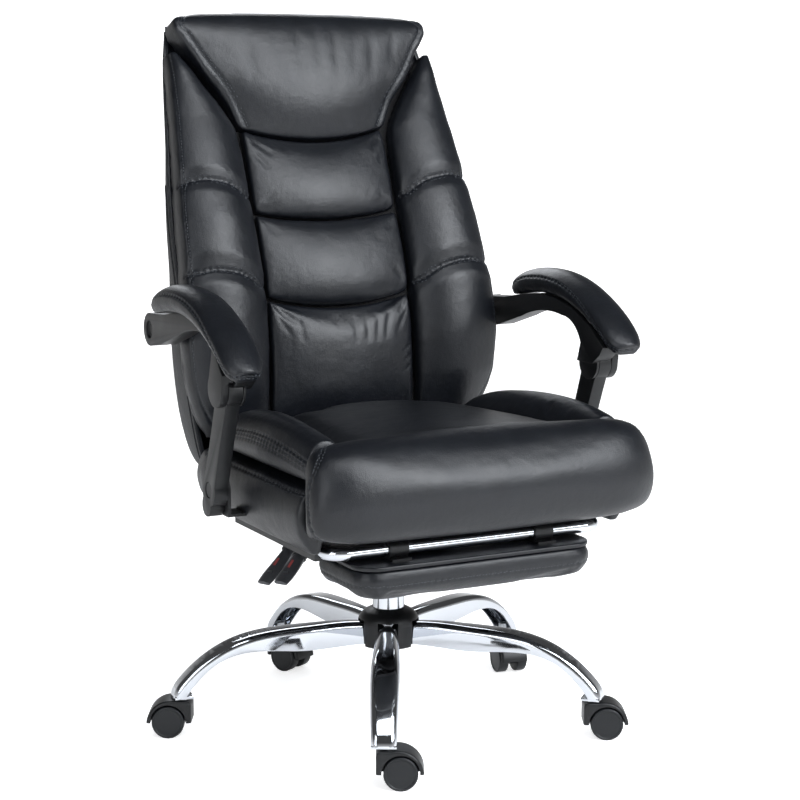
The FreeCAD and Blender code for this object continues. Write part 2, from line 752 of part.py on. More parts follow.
def back_bolster():
    """Side bolster of the back on the +X side, pinched at its two sewn seams."""
    sections = [
        (-42, 142, 240, -15, -4, -13),
        (-14, 134, 256, 0, 18, 3),
        (10, 132, 266, 4, 28, 11),
        (40, 131, 274, 8, 39, 19),
        (103, 130, 281, 11, 46, 25),
        (180, 130, 276, 11, 47, 26),
        (201, 130, 273, 6, 38, 21),
        (225, 130, 271, 11, 47, 26),
        (287, 131, 267, 12, 47, 26),
        (331, 132, 263, 11, 43, 24),
        (349, 132, 260, 6, 35, 19),
        (367, 133, 259, 11, 42, 24),
        (417, 134, 254, 11, 39, 22),
        (461, 137, 250, 9, 35, 19),
        (507, 164, 247, 9, 32, 16),
        (557, 197, 243, 7, 27, 12),
        (592, 221, 241, 1, 13, 3),
    ]
    wires = []
    for u, inner, outer, inner_v, crest, outer_v in sections:
        root = CUSHION_ROOT_V
        wires.append(back_section(u, (inner, root), [
            ((inner, inner_v),),
            (((inner + outer) / 2 + 4, crest), (outer - 3, outer_v)),
            ((outer, (outer_v + root) / 2), (outer - 5, root)),
        ]))
    return cushion_side(loft(wires, ruled=True))


def headrest_cushion():
    """Roll across the top of the back, wider at its top than at its foot."""
    return centre_pad([
        (465, 132, -1, 5),
        (480, 140, 6, 18),
        (518, 162, 14, 33),
        (567, 195, 20, 40),
        (600, 215, 24, 41),
        (625, 229, 28, 40),
        (641, 226, 26, 36),
        (650, 213, 19, 28),
        (656, 192, 10, 19),
        (660, 170, 2, 10),
    ])


def arm_post():
    """Post on the +X side: a round foot, a tapered shaft and a round head."""
    foot, head = POST_FOOT, POST_HEAD
    length = math.dist(foot, head)
    along = ((head[0] - foot[0]) / length, (head[1] - foot[1]) / length)

    def at(up, side):
        return (foot[0] + along[0] * up + along[1] * side, foot[1] + along[1] * up - along[0] * side)

    shaft = slab(at(-14, -22), [
        (at(50, -19), at(length, -21)),
        (at(length, 21),),
        (at(50, 19), at(-14, 22)),
    ], POST_X)
    foot_disc = x_rod(POST_END_R - 1, *foot, POST_X)
    head_disc = x_rod(POST_END_R, *head, POST_X)
    lip = x_rod(POST_END_R - 9, *at(-26, 0), POST_X)
    post = shaft.fuse([foot_disc, head_disc, lip]).removeSplitter()
    post = post.cut(x_rod(BOLT_R + RUNNING_GAP, *foot, (270, 350)))
    post = post.cut(x_rod(12.0, *foot, (POST_X[1] - 5.3, 350)))
    return post.cut(x_rod(OPEN_PIVOT_HOLE_R, *head, (270, 350)))


def arm_frame():
    """Moulded beam under the +X arm pad: rear hub, arch, and two ears round the post head."""
    beam = slab((ARM_HUB[0] - 4, ARM_HUB[1] + 25.5), [
        ((135, 643),),
        ((82, 652),),
        ((28, 657.5),),
        ((-23, 655.5),),
        ((-75, 643),),
        ((-126, 620),),
        ((-164, 590),),
        ((-156, 578),),
        ((POST_HEAD[0] - 24, POST_HEAD[1] + 2),),
        ((POST_HEAD[0] + 20, POST_HEAD[1] + 2),),
        ((POST_HEAD[0] + 11, 592),),
        ((-82, 616), (-45, 629)),
        ((6, 632), (79, 616)),
        ((155, 594),),
        ((ARM_HUB[0] - 4, ARM_HUB[1] - 25.5),),
    ], ARM_X)
    hub = x_rod(26.0, *ARM_HUB, ARM_X)
    ears = x_rod(POST_END_R, *POST_HEAD, EAR_X)
    cheeks = slab((POST_HEAD[0] - POST_END_R, POST_HEAD[1]), [
        ((POST_HEAD[0] - POST_END_R - 3, 584),),
        ((-104, 622),),
        ((POST_HEAD[0] + POST_END_R, POST_HEAD[1]),),
    ], EAR_X)
    frame = beam.fuse([hub, ears, cheeks])
    slot = (POST_X[0] - 0.5, POST_X[1] + 0.5)
    frame = frame.cut(x_rod(POST_END_R + 4, *POST_HEAD, slot))
    frame = frame.cut(slab((POST_HEAD[0] - 60, POST_HEAD[1] - 60), [
        ((POST_HEAD[0] - POST_END_R - 6, POST_HEAD[1]),),
        ((POST_HEAD[0] + POST_END_R + 6, POST_HEAD[1]),),
        ((POST_HEAD[0] + 60, POST_HEAD[1] - 60),),
    ], slot))
    pin = x_rod(OPEN_PIVOT_PIN_R, *POST_HEAD, (EAR_X[0] + 1, EAR_X[1] - 1))
    frame = frame.fuse(pin).removeSplitter()
    frame = frame.cut(x_rod(HUB_PIN_R + RUNNING_GAP, *ARM_HUB, (270, 350)))
    return frame.cut(x_rod(14.0, *ARM_HUB, (ARM_X[1] - 3.7, 350)))


def arm_pad():
    """Padded top of the +X armrest, drooping at the front."""
    stations = [
        ((131, 667), (127, 651), 34),
        ((124, 680), (119, 647.5), 56),
        ((87, 694), (82, 653.5), 68),
        ((28, 700), (28, 659), 70),
        ((-31, 695), (-23, 657), 71),
        ((-90, 676), (-75, 644.5), 71),
        ((-148, 645), (-126, 621.5), 70),
        ((-190, 612), (-166, 592), 64),
        ((-204, 596), (-186, 579), 42),
    ]
    wires = []
    for top, low, width in stations:
        depth = math.dist(top, low)
        up = ((top[0] - low[0]) / depth, (top[1] - low[1]) / depth)
        half = width / 2

        def place(point, low=low, up=up):
            return vec(ARM_CENTRE_X + point[0], low[0] + up[0] * point[1], low[1] + up[1] * point[1])

        wires.append(wire((-half + 7, 0), [
            ((half - 7, 0),),
            ((half, depth * 0.4), (half - 8, depth * 0.78)),
            ((0, depth), (-half + 8, depth * 0.78)),
            ((-half, depth * 0.4), (-half + 7, 0)),
        ], place))
    return loft(wires)


def footrest_tube():
    """Bent chrome tube: two slides and the front bar on which the pad hangs."""
    bend = TUBE_CORNER * math.sqrt(0.5)
    turn = RAIL_X - TUBE_CORNER

    def path():
        z = TUBE_Z
        rear, front = RAIL_Y[1], TUBE_FRONT
        left = Part.makeLine(vec(-RAIL_X, rear, z), vec(-RAIL_X, front + TUBE_CORNER, z))
        left_bend = Part.Arc(vec(-RAIL_X, front + TUBE_CORNER, z),
                             vec(-turn - bend, front + TUBE_CORNER - bend, z), vec(-turn, front, z))
        bar = Part.makeLine(vec(-turn, front, z), vec(turn, front, z))
        right_bend = Part.Arc(vec(turn, front, z), vec(turn + bend, front + TUBE_CORNER - bend, z),
                              vec(RAIL_X, front + TUBE_CORNER, z))
        right = Part.makeLine(vec(RAIL_X, front + TUBE_CORNER, z), vec(RAIL_X, rear, z))
        return Part.Wire([left, left_bend.toShape(), bar, right_bend.toShape(), right])

    def sweep(radius):
        circle = Part.makeCircle(radius, vec(-RAIL_X, RAIL_Y[1], TUBE_Z), Y_AXIS)
        return path().makePipeShell([Part.Wire([circle])], True, False)

    return sweep(TUBE_R).cut(sweep(TUBE_R - TUBE_WALL))


def footrest_clips():
    """Two clips: a ring round the front bar and a tongue on the pad's board."""
    clips = []
    top = REST_Z[2]
    for side in (-1, 1):
        x = (side * CLIP_X - CLIP_WIDTH / 2, side * CLIP_X + CLIP_WIDTH / 2)
        eye = x_rod(CLIP_R, TUBE_FRONT, TUBE_Z, x)
        tongue = box(x, (-280, -175), (top, top + 3.5))
        clip = eye.fuse(tongue).cut(x_rod(TUBE_R + RUNNING_GAP, TUBE_FRONT, TUBE_Z, (x[0] - 1, x[1] + 1)))
        clips.append(clip.removeSplitter())
    return Part.makeCompound(clips)


def rounded_plan(inset, corner, z):
    """Round-cornered rectangle of the footrest pad at one height."""
    x, (y0, y1) = REST_HALF - inset, (REST_Y[0] + inset, REST_Y[1] - inset)
    soft = corner * (1 - math.sqrt(0.5))
    return wire((-x + corner, y0), [
        ((x - corner, y0),),
        ((x - soft, y0 + soft), (x, y0 + corner)),
        ((x, y1 - corner),),
        ((x - soft, y1 - soft), (x - corner, y1)),
        ((-x + corner, y1),),
        ((-x + soft, y1 - soft), (-x, y1 - corner)),
        ((-x, y0 + corner),),
        ((-x + soft, y0 + soft), (-x + corner, y0)),
    ], lambda p: vec(p[0], p[1], z))


def footrest_pad():
    """Cushion under the footrest board, soft side down when it is stowed."""
    low, high, _ = REST_Z
    corner = 42.0
    return loft([
        rounded_plan(26, corner - 20, low),
        rounded_plan(7, corner - 4, low + 4),
        rounded_plan(1, corner, low + 16),
        rounded_plan(0, corner, low + 34),
        rounded_plan(4, corner, high - CUSHION_GAP),
    ])


def footrest_board():
    face = Part.Face(rounded_plan(8, 36, REST_Z[1]))
    return face.extrude(vec(0, 0, REST_Z[2] - REST_Z[1]))


def save_pair(name, shape):
    """Save a +X piece as the sitter's left one, and its mirror image as the right one."""
    save(f"{name}_left", shape)
    save(f"{name}_right", mirrored(shape))


def main():
    os.makedirs(PARTS, exist_ok=True)
    one_leg = leg()
    hood, wheels = caster_hood(), caster_wheels()
    for index, angle in enumerate(LEG_ANGLES):
        save(f"base_leg_{index + 1}", turned(one_leg, angle))
        save(f"caster_hood_{index + 1}", placed_caster(hood, index))
        save(f"caster_wheels_{index + 1}", placed_caster(wheels, index))
    save("caster_sockets", caster_sockets())
    save("base_hub", base_hub())
    save("hub_cover", hub_cover())
    save("column_tube", column_tube())
    save("guide_bush", guide_bush())
    save("thrust_bearing", thrust_bearing())
    save("piston_rod", piston_rod())
    save("pressure_cylinder", pressure_cylinder())
    save("mechanism_housing", mechanism_housing())
    save("recline_pin", recline_pin())
    save("recline_lock_plates", recline_lock_plates())
    for name, y, tip in LEVER_PLACES:
        save(f"{name}_rod", lever_rod(y))
        save(f"{name}_paddle", lever_paddle(y, vec(*tip)))
    save("seat_board", seat_board())
    save("footrest_rails", footrest_rails())
    bracket = arm_bracket()
    save("arm_brackets", Part.makeCompound([bracket, mirrored(bracket)]))
    save("arm_post_bolts", arm_post_bolts())
    save("seat_base_cushion", seat_base_cushion())
    save("seat_cushion", seat_cushion())
    save_pair("seat_side_pad", seat_side_pad())
    save("recline_yoke", recline_yoke())
    save("back_crossbar", back_crossbar())
    save("back_board", back_board())
    save("back_shell", back_shell())
    save("lumbar_pad", centre_pad(LUMBAR_STATIONS))
    save("middle_pad", centre_pad(MIDDLE_STATIONS))
    save("upper_pad", centre_pad(UPPER_STATIONS))
    save_pair("back_bolster", back_bolster())
    save("headrest_cushion", headrest_cushion())
    save_pair("arm_post", arm_post())
    save_pair("arm_frame", arm_frame())
    save_pair("arm_pad", arm_pad())
    save("footrest_tube", footrest_tube())
    save("footrest_clips", footrest_clips())
    save("footrest_board", footrest_board())
    save("footrest_pad", footrest_pad())


main()
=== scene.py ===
"""Dressed model of a reclining office chair with a footrest.

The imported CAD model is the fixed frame. This file gives each cushion its
stuffed shape, seams and stitches, gives the hard parts their rounded edges
and small fittings, and sets every finish, the studio and the camera.
Sizes in the classes are in millimetres and Blender's are in metres.
"""
import logging
import math
from dataclasses import dataclass, field, replace
from enum import Enum
from typing import Callable, Optional, Sequence, Union

import bmesh
import bpy
import numpy as np
from bpy.types import ID, Material, Node, NodeSocket, NodeTree, Object
from mathutils import Matrix, Vector
from mathutils.bvhtree import BVHTree


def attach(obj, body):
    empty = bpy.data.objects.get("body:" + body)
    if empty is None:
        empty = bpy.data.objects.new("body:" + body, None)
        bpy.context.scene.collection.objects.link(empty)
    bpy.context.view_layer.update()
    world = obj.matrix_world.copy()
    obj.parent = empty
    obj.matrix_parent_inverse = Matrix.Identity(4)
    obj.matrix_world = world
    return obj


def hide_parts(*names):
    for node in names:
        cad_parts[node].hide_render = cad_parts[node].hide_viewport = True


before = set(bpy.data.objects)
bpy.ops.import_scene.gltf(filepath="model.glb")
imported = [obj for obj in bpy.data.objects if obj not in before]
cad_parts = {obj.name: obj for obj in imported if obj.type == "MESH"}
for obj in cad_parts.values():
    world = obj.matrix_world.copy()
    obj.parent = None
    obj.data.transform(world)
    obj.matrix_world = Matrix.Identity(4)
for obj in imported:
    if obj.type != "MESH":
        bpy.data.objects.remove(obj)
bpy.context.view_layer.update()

log = logging.getLogger("chair")
MM = 0.001
Point = tuple[float, float, float]


class Slot(Enum):
    """Material slots of the record that new pieces take their finish from."""

    CHROME = "polished_chrome"
    ZINC = "zinc_steel"
    PAINT = "painted_steel"
    PLASTIC = "moulded_plastic"
    NYLON = "wheel_plastic"
    WOOD = "plywood"
    LEATHER = "black_leather"


class Side(Enum):
    """The two sides of the chair, with the sign of their x."""

    LEFT = 1
    RIGHT = -1

    @property
    def word(self) -> str:
        """The side's name in lower case."""
        return self.name.lower()


# Colours and nodes

def linear(code: str) -> tuple[float, float, float, float]:
    """Turn an sRGB hex colour to linear light.

    Args:
        code: Six hex digits after a hash sign.

    Returns:
        Red, green, blue and alpha for a shader socket.
    """
    shares = [int(code[i:i + 2], 16) / 255 for i in (1, 3, 5)]
    light = [s / 12.92 if s <= 0.04045 else ((s + 0.055) / 1.055) ** 2.4 for s in shares]
    return (*light, 1.0)


def add_node(tree: NodeTree, kind: str, settings: Optional[dict] = None,
             links: Optional[dict] = None) -> Node:
    """Add a shader node with its settings and links.

    Args:
        tree: Node tree that gets the node.
        kind: Blender's type name of the node, without its start.
        settings: Values by attribute name, input name or input number.
        links: Output sockets by input name or input number.

    Returns:
        The new node.
    """
    node = tree.nodes.new(f"ShaderNode{kind}")
    for name, value in (settings or {}).items():
        if isinstance(name, int) or name in node.inputs:
            node.inputs[name].default_value = value
        else:
            setattr(node, name, value)
    for name, socket in (links or {}).items():
        tree.links.new(socket, node.inputs[name])
    return node


def maths(tree: NodeTree, operation: str, *values: Union[NodeSocket, float]) -> NodeSocket:
    """Work out a value from sockets and numbers.

    Args:
        tree: Node tree that gets the node.
        operation: Blender's name of the operation.
        values: What goes in, in order.

    Returns:
        The result.
    """
    numbers = {i: value for i, value in enumerate(values) if isinstance(value, float)}
    sockets = {i: value for i, value in enumerate(values) if not isinstance(value, float)}
    return add_node(tree, "Math", {"operation": operation, **numbers}, sockets).outputs[0]


def linked(name: str, data: ID) -> Object:
    """Make an object of a mesh, a curve, a light or a camera and put it in the scene."""
    item = bpy.data.objects.new(name, data)
    bpy.context.scene.collection.objects.link(item)
    return item


class Shading:
    """Material in the making, with the steps that the finishes share."""

    def __init__(self, name: str) -> None:
        """Start the material with a bare tree and object coordinates."""
        self.material = bpy.data.materials.new(name)
        self.material.use_nodes = True
        self.tree = self.material.node_tree
        self.tree.nodes.clear()
        self.place = add_node(self.tree, "TexCoord").outputs["Object"]

    def noise(self, size: float, detail: float, **more: float) -> Node:
        """Add even noise.

        Args:
            size: Size of its lumps in millimetres.
            detail: Number of finer layers.
            more: Other inputs of the node.

        Returns:
            The noise node.
        """
        settings = {"Scale": 1 / (size * MM), "Detail": detail, **more}
        return add_node(self.tree, "TexNoise", settings, {"Vector": self.place})

    def bump(self, height: NodeSocket, strength: float, depth: float,
             under: Optional[NodeSocket] = None) -> NodeSocket:
        """Add relief.

        Args:
            height: Value that raises the surface.
            strength: Share of the relief that is used.
            depth: Depth in millimetres.
            under: Relief that this one lies on.

        Returns:
            The bent normal.
        """
        links = {"Height": height, "Normal": under} if under else {"Height": height}
        return add_node(self.tree, "Bump", {"Strength": strength, "Distance": depth * MM},
                        links).outputs["Normal"]

    def blend(self, share: NodeSocket, first: str, second: str) -> NodeSocket:
        """Colour between two hex colours."""
        colours = {"data_type": "RGBA", 6: linear(first), 7: linear(second)}
        return add_node(self.tree, "Mix", colours, {0: share}).outputs[2]

    def spread(self, share: NodeSocket, low: float, high: float) -> NodeSocket:
        """Value between two limits."""
        return add_node(self.tree, "MapRange", {"To Min": low, "To Max": high},
                        {"Value": share}).outputs["Result"]

    def finish(self, shader: dict, links: dict) -> Material:
        """Add the main shader and the output."""
        body = add_node(self.tree, "BsdfPrincipled", shader, links)
        add_node(self.tree, "OutputMaterial", links={"Surface": body.outputs["BSDF"]})
        return self.material


# Finishes

@dataclass(frozen=True)
class CoatedLeather:
    """Bonded leather with a polyurethane coat, embossed with a pebble grain.

    Broad soft highlights with a fine broken texture, slightly blue black, and
    small uneven swells where the cover lies over foam.
    """

    name: str = "coated_leather"
    base: str = "#0a0c10"
    worn: str = "#11141a"
    roughness: float = 0.36
    # The real pebbles are about 1 mm across; they are drawn coarser so that they show
    grain: float = 2.2
    swell: float = 34.0
    warp: float = 1.2
    groove: float = 0.28
    pebble_relief: tuple[float, float] = (0.32, 0.22)
    swell_relief: tuple[float, float] = (0.55, 2.2)

    def build(self) -> Material:
        """Make the material."""
        make = Shading(self.name)
        warp = make.noise(self.grain * 3, 2.0).outputs["Color"]
        bent = add_node(make.tree, "VectorMath",
                        {"operation": "MULTIPLY_ADD", 1: (self.warp * MM,) * 3},
                        {0: warp, 2: make.place}).outputs["Vector"]
        pebbles = add_node(make.tree, "TexVoronoi",
                           {"feature": "DISTANCE_TO_EDGE", "Scale": 1 / (self.grain * MM)},
                           {"Vector": bent}).outputs["Distance"]
        crown = add_node(make.tree, "MapRange",
                         {"interpolation_type": "SMOOTHSTEP", "From Max": self.groove},
                         {"Value": pebbles}).outputs["Result"]
        uneven = make.noise(self.swell, 3.0, Roughness=0.55).outputs["Fac"]
        return make.finish({"IOR": 1.47}, {
            "Base Color": make.blend(uneven, self.base, self.worn),
            "Roughness": make.spread(uneven, self.roughness - 0.05, self.roughness + 0.07),
            "Normal": make.bump(crown, *self.pebble_relief, make.bump(uneven, *self.swell_relief))})


@dataclass(frozen=True)
class DustCloth:
    """Black non-woven polypropylene, stapled over the boards under the covers.

    A dull black felt with short crossed fibres.
    """

    name: str = "black_dust_cloth"
    base: str = "#0c0c0d"
    second: str = "#1a1a1c"
    fibre: float = 1.5
    detail: float = 4.0
    relief: tuple[float, float] = (0.4, 0.3)
    roughness: float = 0.9

    def build(self) -> Material:
        """Make the material."""
        make = Shading(self.name)
        fibres = make.noise(self.fibre, self.detail).outputs["Fac"]
        return make.finish({"Roughness": self.roughness}, {
            "Base Color": make.blend(fibres, self.base, self.second),
            "Normal": make.bump(fibres, *self.relief)})


@dataclass(frozen=True)
class SewingThread(DustCloth):
    """Bonded polyester thread, three strands twisted.

    A dark grey line that is a little lighter than the leather and duller.
    """

    name: str = "bonded_thread"
    base: str = "#3e4247"
    second: str = "#303439"
    fibre: float = 1.2
    detail: float = 1.0
    relief: tuple[float, float] = (0.5, 0.15)
    roughness: float = 0.6


@dataclass(frozen=True)
class PolishedChrome:
    """Chrome plate on polished steel tube and pressings.

    Mirror reflections with a faint cloudiness, and a slight waviness that
    bends them where the steel was pressed.
    """

    name: str = "chrome_plate"
    base: str = "#d2d5da"
    roughness: float = 0.05
    wave: float = 45.0

    def build(self) -> Material:
        """Make the material."""
        make = Shading(self.name)
        gloss = add_node(make.tree, "MapRange",
                         {"From Min": 0.35, "From Max": 0.75, "To Min": self.roughness,
                          "To Max": self.roughness + 0.07}, {"Value": make.noise(18, 4.0).outputs["Fac"]})
        return make.finish({"Base Color": linear(self.base), "Metallic": 1.0}, {
            "Roughness": gloss.outputs["Result"],
            "Normal": make.bump(make.noise(self.wave, 1.0).outputs["Fac"], 0.25, 0.5)})


@dataclass(frozen=True)
class MouldedPlastic:
    """Glass-filled nylon or polypropylene from a spark-eroded mould.

    Dark grey with an even, slightly rough texture, and dull broad highlights.
    """

    name: str = "moulded_nylon"
    base: str = "#0e0f10"
    scuffed: str = "#151618"
    roughness: float = 0.38
    # Spark-eroded texture is about 0.3 mm; it is drawn coarser so that it shows
    grit: float = 1.1
    detail: float = 3.0
    scuff: float = 26.0
    broken: float = 0.65
    relief: tuple[float, float] = (0.22, 0.16)
    glossier: float = 0.06
    ior: float = 1.43

    def build(self) -> Material:
        """Make the material."""
        make = Shading(self.name)
        scuff = make.noise(self.scuff, 5.0, Roughness=self.broken).outputs["Fac"]
        return make.finish({"IOR": self.ior}, {
            "Base Color": make.blend(scuff, self.base, self.scuffed),
            "Roughness": make.spread(scuff, self.roughness - self.glossier, self.roughness + 0.08),
            "Normal": make.bump(make.noise(self.grit, self.detail).outputs["Fac"], *self.relief)})


@dataclass(frozen=True)
class PowderCoat(MouldedPlastic):
    """Black polyester powder coat, baked on steel.

    Nearly black with the fine orange peel of melted powder.
    """

    name: str = "powder_coat"
    base: str = "#101112"
    scuffed: str = "#17181a"
    roughness: float = 0.42
    grit: float = 2.4
    detail: float = 2.0
    scuff: float = 40.0
    broken: float = 0.5
    relief: tuple[float, float] = (0.3, 0.2)
    glossier: float = 0.05
    ior: float = 1.5


@dataclass(frozen=True)
class PlatedSteel:
    """Zinc-plated mild steel, drawn through a die or stamped.

    Grey metal with long faint scratches and a blotchy, satin sheen.
    """

    name: str = "zinc_plate"
    base: str = "#b3b7bb"
    roughness: float = 0.32

    def build(self) -> Material:
        """Make the material."""
        make = Shading(self.name)
        drawn = add_node(make.tree, "Mapping", {"Scale": (0.08, 1.0, 1.0)}, {"Vector": make.place})
        scratch = add_node(make.tree, "TexNoise", {"Scale": 1 / (0.9 * MM), "Detail": 3.0},
                           {"Vector": drawn.outputs["Vector"]}).outputs["Fac"]
        blotch = make.noise(9, 4.0).outputs["Fac"]
        return make.finish({"Base Color": linear(self.base), "Metallic": 1.0}, {
            "Roughness": make.spread(blotch, self.roughness - 0.07, self.roughness + 0.12),
            "Normal": make.bump(scratch, 0.2, 0.08)})


@dataclass
class Finishes:
    """Every material of the chair, made once."""

    leather: Material = field(default_factory=lambda: CoatedLeather().build())
    chrome: Material = field(default_factory=lambda: PolishedChrome().build())
    plastic: Material = field(default_factory=lambda: MouldedPlastic().build())
    wheel: Material = field(default_factory=lambda: MouldedPlastic(
        "wheel_nylon", "#101214", "#181a1d", 0.36, 1.4).build())
    # The paddles' lighter grey is painted light: it stands in for the light that falls on their tops from
    # above, which the seat shades off here
    paddle: Material = field(default_factory=lambda: MouldedPlastic(
        "paddle_nylon", "#3a3b3e", "#46474a", 0.3, 1.2).build())
    mark: Material = field(default_factory=lambda: MouldedPlastic(
        "printed_mark", "#a04744", "#b25552", 0.5, 1.0).build())
    zinc: Material = field(default_factory=lambda: PlatedSteel().build())
    paint: Material = field(default_factory=lambda: PowderCoat().build())
    lining: Material = field(default_factory=lambda: DustCloth().build())
    thread: Material = field(default_factory=lambda: SewingThread().build())

    def of(self, slot: Slot) -> Material:
        """The finish of one of the record's slots; dust cloth covers the plywood."""
        return {
            Slot.CHROME: self.chrome, Slot.ZINC: self.zinc, Slot.PAINT: self.paint,
            Slot.PLASTIC: self.plastic, Slot.NYLON: self.wheel, Slot.WOOD: self.lining,
            Slot.LEATHER: self.leather,
        }[slot]


# Meshes

def deselect_all() -> None:
    """Leave nothing selected."""
    for item in bpy.context.selected_objects:
        item.select_set(False)


def take_up(item: Object) -> None:
    """Select one object alone and make it the active one."""
    deselect_all()
    item.select_set(True)
    bpy.context.view_layer.objects.active = item


def read_points(item: Object) -> np.ndarray:
    """The object's vertices as rows of x, y and z in metres."""
    points = np.empty(len(item.data.vertices) * 3)
    item.data.vertices.foreach_get("co", points)
    return points.reshape(-1, 3)


def read_normals(item: Object) -> np.ndarray:
    """The object's vertex normals as rows."""
    normals = np.empty(len(item.data.vertices) * 3)
    item.data.vertices.foreach_get("normal", normals)
    return normals.reshape(-1, 3)


def write_points(item: Object, points: np.ndarray) -> None:
    """Move the object's vertices."""
    item.data.vertices.foreach_set("co", points.ravel())
    item.data.update()


def apply_modifier(item: Object, kind: str, settings: dict) -> None:
    """Add a modifier, set it and apply it.

    Args:
        item: Object that gets the modifier.
        kind: Blender's type name of the modifier.
        settings: Values by attribute name.
    """
    take_up(item)
    modifier = item.modifiers.new(kind.lower(), kind)
    for name, value in settings.items():
        setattr(modifier, name, value)
    bpy.ops.object.modifier_apply(modifier=modifier.name)


def merged_copy(nodes: Sequence[str], name: str) -> Object:
    """Copy CAD nodes into one new object with their doubles merged.

    Args:
        nodes: Names of the CAD nodes.
        name: Name of the new object.

    Returns:
        The new object, which carries no material.
    """
    mesh = bpy.data.meshes.new(name)
    shape = bmesh.new()
    for node in nodes:
        shape.from_mesh(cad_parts[node].data)
    bmesh.ops.remove_doubles(shape, verts=shape.verts, dist=0.01 * MM)
    bmesh.ops.recalc_face_normals(shape, faces=shape.faces)
    for face in shape.faces:
        face.material_index = 0
    shape.to_mesh(mesh)
    shape.free()
    return linked(name, mesh)


def smooth_shading(item: Object, angle: float = 34.0) -> None:
    """Shade an object smooth, with creases sharper than an angle kept."""
    take_up(item)
    bpy.ops.object.shade_smooth_by_angle(angle=math.radians(angle))


def place_mesh(item: Object, matrix: Matrix) -> None:
    """Put an object's place in its mesh, and turn the faces back out if the place is a mirror."""
    item.data.transform(matrix)
    if matrix.determinant() < 0:
        item.data.flip_normals()
    item.data.update()


def bake_place(item: Object) -> None:
    """Move an object's own location and turn into its mesh."""
    bpy.context.view_layer.update()
    matrix = item.matrix_world.copy()
    item.matrix_world = Matrix.Identity(4)
    place_mesh(item, matrix)


def copied(item: Object, name: str, matrix: Matrix) -> Object:
    """Copy an object with its own mesh.

    Args:
        item: Object to copy.
        name: Name of the copy.
        matrix: Place of the copy.

    Returns:
        The copy.
    """
    twin = item.copy()
    twin.data = item.data.copy()
    twin.name = name
    twin.data.name = name
    bpy.context.scene.collection.objects.link(twin)
    place_mesh(twin, matrix)
    return twin


def joined(items: Sequence[Object], name: str) -> Object:
    """Join objects into the first one.

    Args:
        items: Objects to join, at least one.
        name: Name of the result.

    Returns:
        The joined object.
    """
    take_up(items[0])
    for item in items[1:]:
        item.select_set(True)
    if len(items) > 1:
        bpy.ops.object.join()
    items[0].name = name
    items[0].data.name = name
    return items[0]


def dress(item: Object, body: str, material: Material) -> Object:
    """Give a piece its finish and the body that it rides on.

    Args:
        item: The piece, in its place.
        body: Name of the CAD body.
        material: The finish.

    Returns:
        The piece.
    """
    item.data.materials.clear()
    item.data.materials.append(material)
    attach(item, body)
    log.info("%s: %d faces on %s", item.name, len(item.data.polygons), body)
    return item


def surface_of(item: Object) -> BVHTree:
    """A search tree of an object's faces."""
    shape = bmesh.new()
    shape.from_mesh(item.data)
    tree = BVHTree.FromBMesh(shape)
    shape.free()
    return tree


def smooth_line(points: Sequence[Point], step: float) -> np.ndarray:
    """Points at even steps along a smooth curve through the given ones.

    Args:
        points: Points on the way, in millimetres.
        step: Distance between the points that come back, in millimetres.

    Returns:
        Rows of x, y and z in metres.
    """
    knots = np.array(points, float) * MM
    ends = np.vstack([2 * knots[0] - knots[1], knots, 2 * knots[-1] - knots[-2]])
    share = np.linspace(0, 1, 40, endpoint=False)[:, None]
    runs = []
    for a, b, c, d in zip(ends, ends[1:], ends[2:], ends[3:]):
        runs.append(0.5 * (2 * b + (c - a) * share + (2 * a - 5 * b + 4 * c - d) * share ** 2
                           + (3 * b - a - 3 * c + d) * share ** 3))
    fine = np.vstack(runs + [knots[-1:]])
    return even_steps(fine, step)


def even_steps(line: np.ndarray, step: float) -> np.ndarray:
    """Points at even steps along a chain of points.

    Args:
        line: Rows of x, y and z in metres.
        step: Distance between the points that come back, in millimetres.

    Returns:
        Rows of x, y and z in metres.
    """
    gone = np.concatenate([[0.0], np.cumsum(np.linalg.norm(np.diff(line, axis=0), axis=1))])
    count = max(2, int(round(gone[-1] / (step * MM))) + 1)
    stops = np.linspace(0, gone[-1], count)
    return np.stack([np.interp(stops, gone, line[:, i]) for i in range(3)], axis=1)


def laid_on(tree: BVHTree, line: np.ndarray) -> tuple[np.ndarray, np.ndarray]:
    """Move points to the nearest place on a surface.

    Args:
        tree: Search tree of the surface.
        line: Rows of x, y and z in metres.

    Returns:
        The points on the surface and the surface's normals there.
    """
    found = [tree.find_nearest(Vector(point)) for point in line]
    return np.array([f[0][:] for f in found]), np.array([f[1][:] for f in found])


def tube_along(line: np.ndarray, radius: float, name: str) -> Object:
    """Make a round welt or wire along a chain of points.

    Args:
        line: Rows of x, y and z in metres.
        radius: Radius in millimetres.
        name: Name of the new object.

    Returns:
        The tube as a mesh object.
    """
    curve = bpy.data.curves.new(name, "CURVE")
    curve.dimensions = "3D"
    curve.bevel_depth = radius * MM
    curve.bevel_resolution = 2
    curve.use_fill_caps = True
    spline = curve.splines.new("POLY")
    spline.points.add(len(line) - 1)
    for point, place in zip(spline.points, line):
        point.co = (*place, 1.0)
    take_up(linked(name, curve))
    bpy.ops.object.convert(target="MESH")
    item = bpy.context.view_layer.objects.active
    item.name = name
    smooth_shading(item, 50.0)
    return item


# The back's own frame

